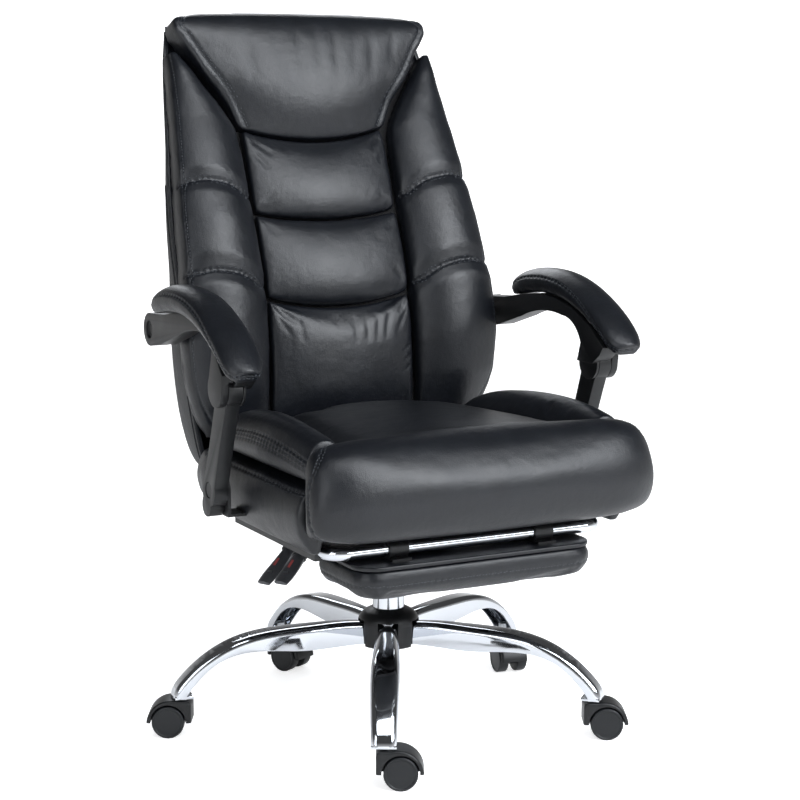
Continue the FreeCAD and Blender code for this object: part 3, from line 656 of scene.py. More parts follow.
@dataclass(frozen=True)
class Spine:
    """Bent line of the back: u runs up it from the seat, v out of it towards the sitter."""

    foot: tuple[float, float] = (152.0, 480.0)
    low_lean: float = 4.6
    high_lean: float = 21.6
    bend_r: float = 400.0
    bend_start: float = 117.6

    @property
    def bend_end(self) -> float:
        """Height up the spine at which the bend ends."""
        return self.bend_start + self.bend_r * math.radians(self.high_lean - self.low_lean)

    def out(self, places: np.ndarray) -> np.ndarray:
        """Turn places along the spine to points.

        Args:
            places: Rows of x, u and v in millimetres.

        Returns:
            Rows of x, y and z in metres.
        """
        x, u, v = np.asarray(places, float).T
        low = math.radians(self.low_lean)
        bent = np.clip(u, self.bend_start, self.bend_end) - self.bend_start
        lean = low + bent / self.bend_r
        below = np.minimum(u, self.bend_start)
        above = np.maximum(u - self.bend_end, 0.0)
        y = self.foot[0] + below * math.sin(low) + above * np.sin(lean)
        z = self.foot[1] + below * math.cos(low) + above * np.cos(lean)
        y = y + self.bend_r * (math.cos(low) - np.cos(lean)) - v * np.cos(lean)
        z = z + self.bend_r * (np.sin(lean) - math.sin(low)) + v * np.sin(lean)
        return np.stack([x, y, z], axis=1) * MM

    def back(self, points: np.ndarray) -> np.ndarray:
        """Turn points to places along the spine.

        Args:
            points: Rows of x, y and z in metres.

        Returns:
            Rows of x, u and v in millimetres.
        """
        x, y, z = (np.asarray(points, float) / MM).T
        low, high = math.radians(self.low_lean), math.radians(self.high_lean)
        dy, dz = y - self.foot[0], z - self.foot[1]
        u_low = dy * math.sin(low) + dz * math.cos(low)
        v_low = -dy * math.cos(low) + dz * math.sin(low)
        centre_y = self.foot[0] + self.bend_start * math.sin(low) + self.bend_r * math.cos(low)
        centre_z = self.foot[1] + self.bend_start * math.cos(low) - self.bend_r * math.sin(low)
        ry, rz = centre_y - y, z - centre_z
        lean = np.arctan2(rz, ry)
        u_bend = self.bend_start + self.bend_r * (lean - low)
        v_bend = np.hypot(ry, rz) - self.bend_r
        knee = self.out(np.array([[0.0, self.bend_end, 0.0]]))[0] / MM
        ey, ez = y - knee[1], z - knee[2]
        u_high = self.bend_end + ey * math.sin(high) + ez * math.cos(high)
        v_high = -ey * math.cos(high) + ez * math.sin(high)
        u = np.where(lean < low, u_low, np.where(lean > high, u_high, u_bend))
        v = np.where(lean < low, v_low, np.where(lean > high, v_high, v_bend))
        return np.stack([x, u, v], axis=1)

    def line(self, places: Sequence[Point]) -> list[Point]:
        """Places in the back's frame as points of the chair's frame, in millimetres."""
        return [tuple(point) for point in self.out(np.array(places, float)) / MM]


SPINE = Spine()


# Upholstery

@dataclass
class Crease:
    """Line on a cushion: a seam with its stitches, or a soft fold of the cover."""

    points: Sequence[Point]
    depth: float = 2.0
    width: float = 3.2
    rows: tuple[float, ...] = ()
    pucker: float = 0.25
    tapered: bool = False
    pucker_pitch: float = 11.0
    step: float = 2.0
    reach: float = 3.0

    def mirrored(self) -> "Crease":
        """The same line on the other side of the chair."""
        return replace(self, points=[(-x, y, z) for x, y, z in self.points])

    def press(self, item: Object, tree: BVHTree) -> None:
        """Press the line into a cushion's surface.

        Args:
            item: The cushion.
            tree: Search tree of its surface.
        """
        line, _ = laid_on(tree, smooth_line(self.points, self.step))
        points = read_points(item)
        reach = self.reach * self.width * MM
        near = np.all((points > line.min(0) - reach) & (points < line.max(0) + reach), axis=1)
        chosen = np.nonzero(near)[0]
        if not len(chosen):
            return
        gap = np.full(len(chosen), np.inf)
        stop = np.zeros(len(chosen), int)
        for index, place in enumerate(line):
            away = np.linalg.norm(points[chosen] - place, axis=1)
            closer = away < gap
            gap[closer] = away[closer]
            stop[closer] = index
        amount = self.depth * MM * np.exp(-(gap / (self.width * MM)) ** 2)
        if self.tapered:
            amount *= np.sin(np.pi * (stop + 0.5) / len(line)) ** 0.8
        if self.rows:
            amount *= 1.0 + self.pucker * np.sin(stop * self.step * 2 * np.pi / self.pucker_pitch)
        points[chosen] -= read_normals(item)[chosen] * amount[:, None]
        write_points(item, points)


@dataclass
class Stitching:
    """Rows of thread beside the seams of one cushion."""

    pitch: float = 5.0
    # The real thread is 0.8 mm thick; it is drawn a little thicker so that it shows
    length: float = 3.6
    thick: float = 1.1
    raised: float = 0.15

    def pattern(self) -> tuple[np.ndarray, list[tuple[int, ...]]]:
        """One stitch along +X on the XY plane, in metres, and its faces."""
        half, mid, r = self.length / 2, self.length / 4, self.thick / 2
        ring = [(0, r, 0), (0, 0, r), (0, -r, 0), (0, 0, -r)]
        points = [(-half, 0, -r / 2)]
        points += [(-mid, y, z) for _, y, z in ring] + [(mid, y, z) for _, y, z in ring]
        points += [(half, 0, -r / 2)]
        faces = []
        for i in range(4):
            j = (i + 1) % 4
            faces += [(0, 1 + j, 1 + i), (1 + i, 1 + j, 5 + j, 5 + i), (9, 5 + i, 5 + j)]
        return np.array(points) * MM, faces

    def sew(self, tree: BVHTree, creases: Sequence[Crease], name: str) -> Optional[Object]:
        """Lay the stitches of every seam on a surface.

        Args:
            tree: Search tree of the cushion.
            creases: Lines of the cushion; those with no rows are skipped.
            name: Name of the new object.

        Returns:
            The stitches as one object, or None where there are none.
        """
        shape, faces = self.pattern()
        all_points, all_faces = [], []
        for crease in creases:
            if not crease.rows:
                continue
            line, normals = laid_on(tree, smooth_line(crease.points, self.pitch))
            along = np.gradient(line, axis=0)
            across = np.cross(normals, along)
            across /= np.linalg.norm(across, axis=1)[:, None] + 1e-12
            for row in crease.rows:
                places, ups = laid_on(tree, line + across * row * MM)
                ahead = np.gradient(places, axis=0)
                for place, up, forward in zip(places, ups, ahead):
                    forward = forward / (np.linalg.norm(forward) + 1e-12)
                    side = np.cross(up, forward)
                    side /= np.linalg.norm(side) + 1e-12
                    turn = np.stack([forward, side, np.cross(forward, side)])
                    start = len(all_points) * len(shape)
                    all_points.append(shape @ turn + place + up * self.raised * MM)
                    all_faces += [tuple(start + i for i in face) for face in faces]
        if not all_points:
            return None
        mesh = bpy.data.meshes.new(name)
        mesh.from_pydata(np.vstack(all_points).tolist(), [], all_faces)
        mesh.update()
        item = linked(name, mesh)
        smooth_shading(item, 60.0)
        return item


@dataclass
class Cushion:
    """Stuffed piece of the chair, made from its CAD solids.

    The solid is remeshed, shaped, taken in a little and blown up as cloth,
    so that it swells between the places where it is held.
    """

    name: str
    nodes: Sequence[str]
    body: str
    shape: Optional[Callable[[np.ndarray], np.ndarray]] = None
    held: Optional[Callable[[np.ndarray], np.ndarray]] = None
    creases: list[Crease] = field(default_factory=list)
    voxel: float = 5.0
    soften: int = 8
    taken_in: float = 2.5
    cap: float = 5.0
    fill: float = 0.8
    settle: int = 2
    cloth_mass: float = 0.3
    pressure: float = 4.0
    twin: Optional[str] = None
    item: Optional[Object] = None
    rest: Optional[np.ndarray] = None

    def cut_out(self) -> None:
        """Make the unfilled cover."""
        self.item = merged_copy(self.nodes, self.name)
        apply_modifier(self.item, "REMESH", {"mode": "VOXEL", "voxel_size": self.voxel * MM})
        apply_modifier(self.item, "SMOOTH", {"factor": 0.5, "iterations": self.soften})
        points = read_points(self.item)
        firm = self.held(points) if self.held else np.zeros(len(points), bool)
        group = self.item.vertex_groups.new(name="held")
        seams = np.zeros(len(points), bool)
        if self.shape:
            points = self.shape(points)
            write_points(self.item, points)
        tree = surface_of(self.item)
        for crease in self.creases:
            if crease.rows:
                line, _ = laid_on(tree, smooth_line(crease.points, 4.0))
                for place in line:
                    seams |= np.linalg.norm(points - place, axis=1) < 0.8 * self.voxel * MM
        points = points - read_normals(self.item) * self.taken_in * MM * (~firm)[:, None]
        write_points(self.item, points)
        group.add([int(i) for i in np.nonzero(firm | seams)[0]], 1.0, "REPLACE")
        self.rest = points

    def start_air(self, last_frame: int) -> None:
        """Add the cloth that the air pressure will swell.

        Args:
            last_frame: Frame at which the swelling ends.
        """
        cloth = self.item.modifiers.new("air", "CLOTH")
        settings = cloth.settings
        settings.quality = 4
        settings.mass = self.cloth_mass
        settings.use_pressure = True
        settings.uniform_pressure_force = self.pressure
        settings.vertex_group_mass = "held"
        settings.effector_weights.gravity = 0.0
        cloth.collision_settings.use_collision = False
        cloth.point_cache.frame_start = 1
        cloth.point_cache.frame_end = last_frame

    def stop_air(self) -> None:
        """Apply the cloth and hold each point within the cap."""
        take_up(self.item)
        bpy.ops.object.modifier_apply(modifier="air")
        moved = read_points(self.item) - self.rest
        far = np.linalg.norm(moved, axis=1)
        share = np.minimum(1.0, self.cap * MM / np.maximum(far, 1e-9))
        write_points(self.item, self.rest + moved * share[:, None])
        apply_modifier(self.item, "SMOOTH", {"factor": 0.5, "iterations": self.settle})

    def sew_up(self, finishes: Finishes) -> list[Object]:
        """Divide the cover finely, press its seams, stitch it and put it on its body.

        Args:
            finishes: The chair's materials.

        Returns:
            The finished cushion, its stitches and their mirrored twins.
        """
        apply_modifier(self.item, "SUBSURF", {"levels": 1, "render_levels": 1})
        tree = surface_of(self.item)
        for crease in self.creases:
            crease.press(self.item, tree)
        take_up(self.item)
        bpy.ops.object.shade_smooth()
        self.item.vertex_groups.clear()
        thread = Stitching().sew(surface_of(self.item), self.creases, f"{self.name}_stitches")
        made = [self.item] + ([thread] if thread else [])
        pairs = [(self.item, self.nodes, self.body)]
        if self.twin:
            mirror = Matrix.Diagonal((-1.0, 1.0, 1.0, 1.0))
            other = copied(self.item, self.twin, mirror)
            body = self.body.replace(Side.LEFT.word, Side.RIGHT.word)
            nodes = [node.replace(Side.LEFT.word, Side.RIGHT.word) for node in self.nodes]
            pairs.append((other, nodes, body))
            if thread:
                other_thread = copied(thread, f"{self.twin}_stitches", mirror)
                dress(other_thread, body, finishes.thread)
                made.append(other_thread)
            made.append(other)
        for item, nodes, body in pairs:
            dress(item, body, finishes.leather)
            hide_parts(*nodes)
        if thread:
            dress(thread, self.body, finishes.thread)
        return made


@dataclass
class Workroom:
    """Fills and sews all cushions together, so that the cloth runs once."""

    finishes: Finishes
    frames: int = 20

    def make(self, cushions: Sequence[Cushion]) -> None:
        """Make every cushion.

        Args:
            cushions: The cushions, each with its CAD solids and lines.
        """
        for cushion in cushions:
            cushion.cut_out()
        for cushion in cushions:
            cushion.start_air(self.frames)
        for number in range(1, self.frames + 1):
            bpy.context.scene.frame_set(number)
        for cushion in cushions:
            cushion.stop_air()
        bpy.context.scene.frame_set(1)
        for cushion in cushions:
            cushion.sew_up(self.finishes)


def ease(value: np.ndarray, start: float, end: float) -> np.ndarray:
    """Smooth step from 0 at start to 1 at end."""
    share = np.clip((value - start) / (end - start), 0.0, 1.0)
    return share * share * (3 - 2 * share)


@dataclass
class BackUpholstery:
    """Headrest roll, three centre pads, two bolsters and the shell's welts."""

    finishes: Finishes
    pad_half: float = 127.0
    headrest_sag: float = 24.0
    upper_sag: float = 15.5
    lumbar_sag: float = 19.0
    overhang: float = 7.0
    crown: float = 4.0
    tuck: float = 0.5
    arch_rise: float = 18.0
    arch_fall: float = 26.0
    arch_middle: float = 228.0
    arch_half: float = 95.0
    roll_crest: float = 575.0
    roll_half: float = 140.0
    roll_above: float = 70.0
    roll_below: float = 105.0
    roll_overhang: float = 9.0
    sag_ends: tuple[float, float] = (470.0, 615.0)
    overhang_ends: tuple[float, float] = (500.0, 640.0)
    arch_starts: tuple[float, float] = (40.0, 150.0)
    arch_ends: tuple[float, float] = (420.0, 540.0)
    board_face: float = -14.0
    seam_rows: tuple[float, float] = (-2.6, 2.6)

    def bow(self, x: np.ndarray, half: float) -> np.ndarray:
        """Share of a seam's sag across the back: 1 in the middle and 0 at the sides."""
        return np.clip(1.0 - (x / half) ** 2, 0.0, 1.0)

    def sag_pad(self, low: float, high: float, low_sag: float, high_sag: float
                ) -> Callable[[np.ndarray], np.ndarray]:
        """Make the move that hangs a centre pad between its two seams.

        Args:
            low: Height of its lower seam up the spine.
            high: Height of its upper seam up the spine.
            low_sag: Sag of the lower seam.
            high_sag: Sag of the upper seam.

        Returns:
            A function from points to moved points.
        """
        def move(points: np.ndarray) -> np.ndarray:
            """Move a pad's points down by the sag of its seams."""
            x, u, v = SPINE.back(points).T
            share = np.clip((u - low) / (high - low), 0, 1)
            drop = (low_sag * (1 - share) + high_sag * share) * self.bow(x, self.pad_half)
            drop += self.overhang * ease(v, -2, 17) * np.sin(np.pi * share)
            return SPINE.out(np.stack([x, u - drop, v], axis=1))

        return move

    def sag_headrest(self, points: np.ndarray) -> np.ndarray:
        """Hang the roll's foot in the middle and make its front rounder.

        Args:
            points: Rows of x, y and z in metres.

        Returns:
            The moved points.
        """
        x, u, v = SPINE.back(points).T
        above = np.clip((u - self.roll_crest) / self.roll_above, 0, 1)
        below = np.clip((self.roll_crest - u) / self.roll_below, 0, 1)
        tucked = np.where(v > 0, v * (1 - self.tuck * below ** 2), v)
        v = tucked + self.crown * (1 - above ** 2) * ease(v, 0, 30)
        low = 1 - ease(u, *self.sag_ends)
        drop = self.headrest_sag * self.bow(x, self.roll_half) * low
        drop += self.roll_overhang * ease(v, 10, 38) * (1 - ease(u, *self.overhang_ends))
        return SPINE.out(np.stack([x, u - drop, v], axis=1))

    def arch_bolster(self, points: np.ndarray) -> np.ndarray:
        """Bend the bolster's pinched seams to arches that fall towards the inner edge.

        Args:
            points: Rows of x, y and z in metres.

        Returns:
            The moved points.
        """
        x, u, v = SPINE.back(points).T
        weight = ease(u, *self.arch_starts) * (1 - ease(u, *self.arch_ends))
        rise = self.arch_rise - self.arch_fall * ((x - self.arch_middle) / self.arch_half) ** 2
        return SPINE.out(np.stack([x, u + rise * weight, v], axis=1))

    def on_board(self, points: np.ndarray) -> np.ndarray:
        """Whether a point lies near the back board."""
        return SPINE.back(points)[:, 2] < self.board_face

    def arch(self, height: float) -> Crease:
        """One of the bolster's arched seams."""
        stops = [(131, -9, 4), (142, -4, 24), (160, 5, 33), (185, 13, 38), (222, 18, 38), (250, 16, 28),
                 (266, 14, 12)]
        return Crease(SPINE.line([(x, height + rise, v) for x, rise, v in stops]), 2.6, 3.4, self.seam_rows)

    def headrest(self) -> Cushion:
        """The roll across the top, with a stitched seam near each end and soft upright folds."""
        end = [(119, 466, 0), (128, 480, 12), (150, 518, 27), (183, 567, 36), (203, 600, 40), (215, 625, 38),
               (213, 641, 34), (203, 652, 22), (196, 660, 6), (192, 662, -12)]
        seam = Crease(SPINE.line(end), 1.6, 4.2, self.seam_rows, 0.1)
        folds = []
        for x, low, high, depth, width in [
                (-112, 525, 640, 1.3, 14.0), (-62, 540, 630, 0.6, 10.0), (-22, 520, 642, 1.1, 10.0),
                (12, 545, 634, 0.7, 8.0), (44, 530, 640, 0.9, 9.0), (80, 540, 636, 0.6, 9.0),
                (112, 525, 632, 1.0, 10.0), (156, 560, 628, 0.7, 9.0)]:
            line = [(x * 0.93, low, 36), (x, (low + high) / 2, 42), (x * 1.04, high, 42)]
            folds.append(Crease(SPINE.line(line), depth, width, tapered=True))
        return Cushion("headrest_roll", ["headrest_cushion"], "backrest", self.sag_headrest, self.on_board,
                       [seam, seam.mirrored(), *folds], taken_in=2.0, cap=5.0, soften=6, fill=0.8)

    def pads(self) -> list[Cushion]:
        """The three pads between the bolsters."""
        def fold(*places: Point, depth: float = 2.0, width: float = 6.0) -> Crease:
            """A short soft fold that runs out from a seam."""
            return Crease(SPINE.line(places), 0.7 * depth, width, tapered=True)

        lumbar = [fold((x, 160 - drop, 12), (x - lean, 138 - drop, 18), (x - 1.6 * lean, 112 - drop, 19),
                       depth=depth)
                  for x, drop, lean, depth in [(18, 17, 1, 1.7), (40, 16, 2, 1.8), (64, 14, 6, 2.0),
                                               (86, 10, 9, 2.3), (-84, 10, -5, 1.2)]]
        lumbar += [fold((124, u, 6), (116, u - 6, 12), (104, u - 12, 15), depth=1.8, width=4.0)
                   for u in (92, 74, 58)]
        upper = [fold((-118, 445, 2), (-104, 432, 12), (-84, 412, 18), depth=2.4),
                 fold((-108, 452, 2), (-92, 442, 10), (-74, 426, 16), depth=2.0),
                 fold((-120, 425, 6), (-108, 408, 14), (-96, 388, 18), depth=2.0),
                 fold((-80, 448, 4), (-68, 436, 12), (-58, 420, 16), depth=1.7),
                 fold((118, 446, 2), (106, 436, 10), (94, 420, 15), depth=1.8),
                 fold((122, 420, 6), (114, 410, 12), (106, 396, 15), depth=1.5)]
        middle = [fold((122, 196, 2), (112, 204, 10), (100, 216, 15), depth=1.8),
                  fold((-120, 300, 4), (-108, 290, 11), (-94, 276, 16), depth=1.4),
                  fold((120, 302, 4), (110, 292, 11), (98, 280, 16), depth=1.2)]
        rows = [
            ("lumbar_pad_cover", "lumbar_pad", -28, 175.5, 0.0, self.lumbar_sag, lumbar),
            ("middle_pad_cover", "middle_pad", 178.5, 318.5, self.lumbar_sag, self.upper_sag, middle),
            ("upper_pad_cover", "upper_pad", 321.5, 462.5, self.upper_sag, self.headrest_sag, upper),
        ]
        return [Cushion(name, [node], "backrest", self.sag_pad(low, high, low_sag, high_sag), self.on_board,
                        folds, voxel=4.0, soften=4, taken_in=0.8, cap=6.0, fill=0.7)
                for name, node, low, high, low_sag, high_sag, folds in rows]

    def bolster(self) -> Cushion:
        """The side bolsters, with two arched seams and a row of stitches near the outer edge."""
        edge = [(237, -20, 6), (258, 20, 14), (270, 60, 20), (277, 110, 26), (272, 180, 27), (267, 225, 26),
                (263, 287, 26), (259, 331, 24), (255, 367, 24), (250, 417, 22), (246, 461, 20),
                (243, 507, 17), (240, 550, 13), (237, 582, 6)]
        outer = Crease(SPINE.line([(x - 3, u, v) for x, u, v in edge]), 1.3, 2.4, (2.4,), 0.2)
        return Cushion("bolster_left", ["back_bolster_left"], "backrest", self.arch_bolster, self.on_board,
                       [self.arch(349.0), self.arch(201.0), outer], soften=6, taken_in=3.0, cap=6.0,
                       fill=0.8, twin="bolster_right")

    def cushions(self) -> list[Cushion]:
        """Every stuffed piece of the back."""
        return [self.headrest(), *self.pads(), self.bolster()]

    def shell(self) -> None:
        """Dress the rear casing, with welts along its rim and down its sides."""
        item = HardPart("rear_casing", ["back_shell"], "backrest", Slot.LEATHER, 2.0).make(self.finishes)
        tree = surface_of(item)
        halves = [(-80, 238), (-50, 248), (-5, 255), (50, 261), (110, 265), (170, 267), (225, 267),
                  (290, 265), (380, 258), (510, 243), (600, 232), (636, 227)]
        welts = []
        for side in Side:
            for v, radius in ((-23.5, 1.9), (-36.0, 1.4)):
                stops = [(side.value * half, u, v) for u, half in halves if v > -30 or u < 470]
                line, normals = laid_on(tree, smooth_line(SPINE.line(stops), 6.0))
                welts.append(tube_along(line + normals * 0.3 * MM, radius, "welt"))
        welt = joined(welts, "rear_casing_welts")
        dress(welt, "backrest", self.finishes.leather)


# Hard parts

@dataclass
class HardPart:
    """Rigid piece made from CAD nodes, with its sharp edges rounded."""

    name: str
    nodes: Sequence[str]
    body: str
    slot: Slot
    rounding: float = 0.8
    angle: float = 32.0
    segments: int = 2
    flat: float = 0.6

    def make(self, finishes: Finishes) -> Object:
        """Make the piece and put it in the place of its nodes.

        Args:
            finishes: The chair's materials.

        Returns:
            The finished piece.
        """
        item = merged_copy(self.nodes, self.name)
        take_up(item)
        bpy.ops.object.mode_set(mode="EDIT")
        bpy.ops.mesh.select_all(action="SELECT")
        bpy.ops.mesh.dissolve_limited(angle_limit=math.radians(self.flat))
        bpy.ops.object.mode_set(mode="OBJECT")
        if self.rounding:
            apply_modifier(item, "BEVEL", {
                "width": self.rounding * MM, "segments": self.segments, "limit_method": "ANGLE",
                "angle_limit": math.radians(self.angle), "use_clamp_overlap": True,
                "miter_outer": "MITER_ARC"})
        smooth_shading(item)
        dress(item, self.body, finishes.of(self.slot))
        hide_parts(*self.nodes)
        return item


@dataclass
class KeptNodes:
    """CAD nodes whose shape is already right, which only get a better finish."""

    finishes: Finishes
    slots: dict[Slot, str]

    def make(self) -> None:
        """Give each node its finish."""
        for slot, nodes in self.slots.items():
            for node in nodes.split():
                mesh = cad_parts[node].data
                mesh.materials.clear()
                mesh.materials.append(self.finishes.of(slot))
                log.info("%s keeps its CAD shape in %s", node, slot.value)


@dataclass
class Base:
    """Star base, hub cover and casters."""

    finishes: Finishes
    legs: int = 5
    angles: tuple[float, ...] = (-118.1, -46.1, 25.9, 97.9, 169.9)
    headings: tuple[float, ...] = (-27.0, -27.0, -99.5, -63.2, 152.7)
    reach: float = 328.0
    trail: float = 24.0
    wheel_r: float = 25.0
    wheel_width: float = 17.0
    wheel_gap: float = 16.0
    wheel_rounding: float = 2.2
    # Each step in a wheel's outer face: the share of the radius that is left, and its depth
    wheel_steps: tuple[tuple[float, float], ...] = ((0.86, 0.0), (0.83, 0.7), (0.5, -0.5))

    def caster_matrix(self, index: int) -> Matrix:
        """Place of a caster: its wheels' centre is the origin, its axle is Y and it heads along X."""
        angle, heading = math.radians(self.angles[index]), math.radians(self.headings[index])
        x = self.reach * math.cos(angle) + self.trail * math.cos(heading)
        y = self.reach * math.sin(angle) + self.trail * math.sin(heading)
        return Matrix.Translation(Vector((x, y, self.wheel_r)) * MM) @ Matrix.Rotation(heading, 4, "Z")

    def wheel(self) -> Object:
        """One wheel at the origin with its axle along Y: a rounded tread, a groove and a sunk hub disc."""
        deselect_all()
        bpy.ops.mesh.primitive_cylinder_add(vertices=64, radius=self.wheel_r * MM,
                                            depth=self.wheel_width * MM,
                                            rotation=(math.pi / 2, 0, 0))
        item = bpy.context.active_object
        bpy.ops.object.transform_apply(location=True, rotation=True, scale=True)
        outer = self.wheel_width / 2 * MM
        for share, sink in self.wheel_steps:
            self.step_in(item, outer, share, sink)
        apply_modifier(item, "BEVEL", {"width": self.wheel_rounding * MM, "segments": 3,
                                       "limit_method": "ANGLE", "angle_limit": math.radians(60)})
        smooth_shading(item, 40.0)
        return item

    def step_in(self, item: Object, outer: float, share: float, sink: float) -> None:
        """Inset the wheel's round outer face to a share of its radius and push it in.

        Args:
            item: The wheel.
            outer: The y of the wheel's outer face in metres.
            share: Share of the wheel's radius that the inner face gets.
            sink: Depth of the step in millimetres.
        """
        shape = bmesh.new()
        shape.from_mesh(item.data)
        for face in [f for f in shape.faces if len(f.verts) > 40 and f.normal.y > 0.9]:
            size = max(v.co.xz.length for v in face.verts)
            bmesh.ops.inset_region(shape, faces=[face], thickness=size - share * self.wheel_r * MM)
            for vert in face.verts:
                vert.co.y -= sink * MM
        shape.to_mesh(item.data)
        shape.free()

    def casters(self) -> None:
        """Hoods with rounded edges, and a pair of detailed wheels on each."""
        wheel = self.wheel()
        offset = (self.wheel_gap + self.wheel_width) / 2 * MM
        for index in range(self.legs):
            number = index + 1
            HardPart(f"caster_hood_{number}_moulding", [f"caster_hood_{number}"], f"caster_{number}",
                     Slot.PLASTIC, 0.8).make(self.finishes)
            place = self.caster_matrix(index)
            near = copied(wheel, "near_wheel", place @ Matrix.Translation((0, offset, 0)))
            far = copied(wheel, "far_wheel",
                         place @ Matrix.Translation((0, -offset, 0)) @ Matrix.Diagonal((1, -1, 1, 1)))
            pair = joined([near, far], f"caster_wheel_pair_{number}")
            dress(pair, f"wheels_{number}", self.finishes.wheel)
            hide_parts(f"caster_wheels_{number}")
        bpy.data.objects.remove(wheel)

    def make(self) -> None:
        """Dress the whole base."""
        for number in range(1, self.legs + 1):
            HardPart(f"base_leg_{number}_pressing", [f"base_leg_{number}"], "base", Slot.CHROME,
                     1.2).make(self.finishes)
        HardPart("hub_collar", ["hub_cover"], "base", Slot.PLASTIC, 1.2).make(self.finishes)
        self.casters()


@dataclass
class Mechanism:
    """Plate under the seat, its levers and the recline yoke."""

    finishes: Finishes
    levers: tuple[tuple[str, Point, Point], ...] = (
        ("height_lever", (-181.0, -48.0, 310.0), (-249.0, -82.0, 262.0)),
        ("recline_lever", (-181.0, -86.0, 310.0), (-238.0, -119.0, 269.0)),
    )
    boot_rings: int = 5
    first_ring: float = 3.0
    ring_pitch: float = 4.4
    ring_r: float = 7.4
    ring_growth: float = 0.5
    rib_r: float = 2.1
    print_thick: float = 1.2
    # Each print on a paddle: its place along it, its length and its width
    prints: tuple[Point, ...] = ((0.6, 14.0, 4.0), (0.8, 2.5, 8.0))

    def boot(self, name: str, root: Vector, tip: Vector) -> None:
        """Ribbed rubber boot between a lever's rod and its paddle.

        Args:
            name: Name of the lever, which is also its body.
            root: Start of the paddle in metres.
            tip: End of the paddle in metres.
        """
        along = (tip - root).normalized()
        turn = along.to_track_quat("Z", "Y").to_euler()
        rings = []
        for number in range(self.boot_rings):
            deselect_all()
            bpy.ops.mesh.primitive_torus_add(
                location=root + along * (self.first_ring + self.ring_pitch * number) * MM, rotation=turn,
                major_segments=28, minor_segments=10, minor_radius=self.rib_r * MM,
                major_radius=(self.ring_r + self.ring_growth * number) * MM)
            ring = bpy.context.active_object
            bake_place(ring)
            rings.append(ring)
        boot = joined(rings, f"{name}_boot")
        smooth_shading(boot, 60.0)
        dress(boot, name, self.finishes.plastic)

    def printing(self, name: str, grip: Object, root: Vector, tip: Vector) -> None:
        """Plain bars printed on top of a paddle.

        Args:
            name: Name of the lever, which is also its body.
            grip: The paddle.
            root: Start of the paddle in metres.
            tip: End of the paddle in metres.
        """
        tree = surface_of(grip)
        along = (tip - root).normalized()
        for number, (share, length, width) in enumerate(self.prints):
            above = root.lerp(tip, share) + Vector((0, 0, 0.03))
            spot, normal, _, _ = tree.ray_cast(above, Vector((0, 0, -1)))
            forward = (along - normal * along.dot(normal)).normalized()
            turn = Matrix((forward, normal.cross(forward), normal)).transposed().to_4x4()
            deselect_all()
            bpy.ops.mesh.primitive_cube_add(size=1.0)
            bar = bpy.context.active_object
            bar.name = f"{name}_print_{number + 1}"
            place_mesh(bar, Matrix.Translation(spot) @ turn @ Matrix.Diagonal(
                (length * MM, width * MM, self.print_thick * MM, 1.0)))
            dress(bar, name, self.finishes.mark if number == 0 else self.finishes.zinc)

    def make(self) -> None:
        """Dress the mechanism."""
        HardPart("mechanism_plate", ["mechanism_housing"], "seat", Slot.PAINT, 1.2).make(self.finishes)
        HardPart("yoke_plate", ["recline_yoke"], "backrest", Slot.PAINT, 1.0).make(self.finishes)
        for lever, root, tip in self.levers:
            grip = HardPart(f"{lever}_grip", [f"{lever}_paddle"], lever, Slot.PLASTIC, 2.0,
                            segments=3).make(self.finishes)
            # The paddle takes the lighter grey plastic, which is painted light on its top
            grip.data.materials[0] = self.finishes.paddle
            self.boot(lever, Vector(root) * MM, Vector(tip) * MM)
            self.printing(lever, grip, Vector(root) * MM, Vector(tip) * MM)


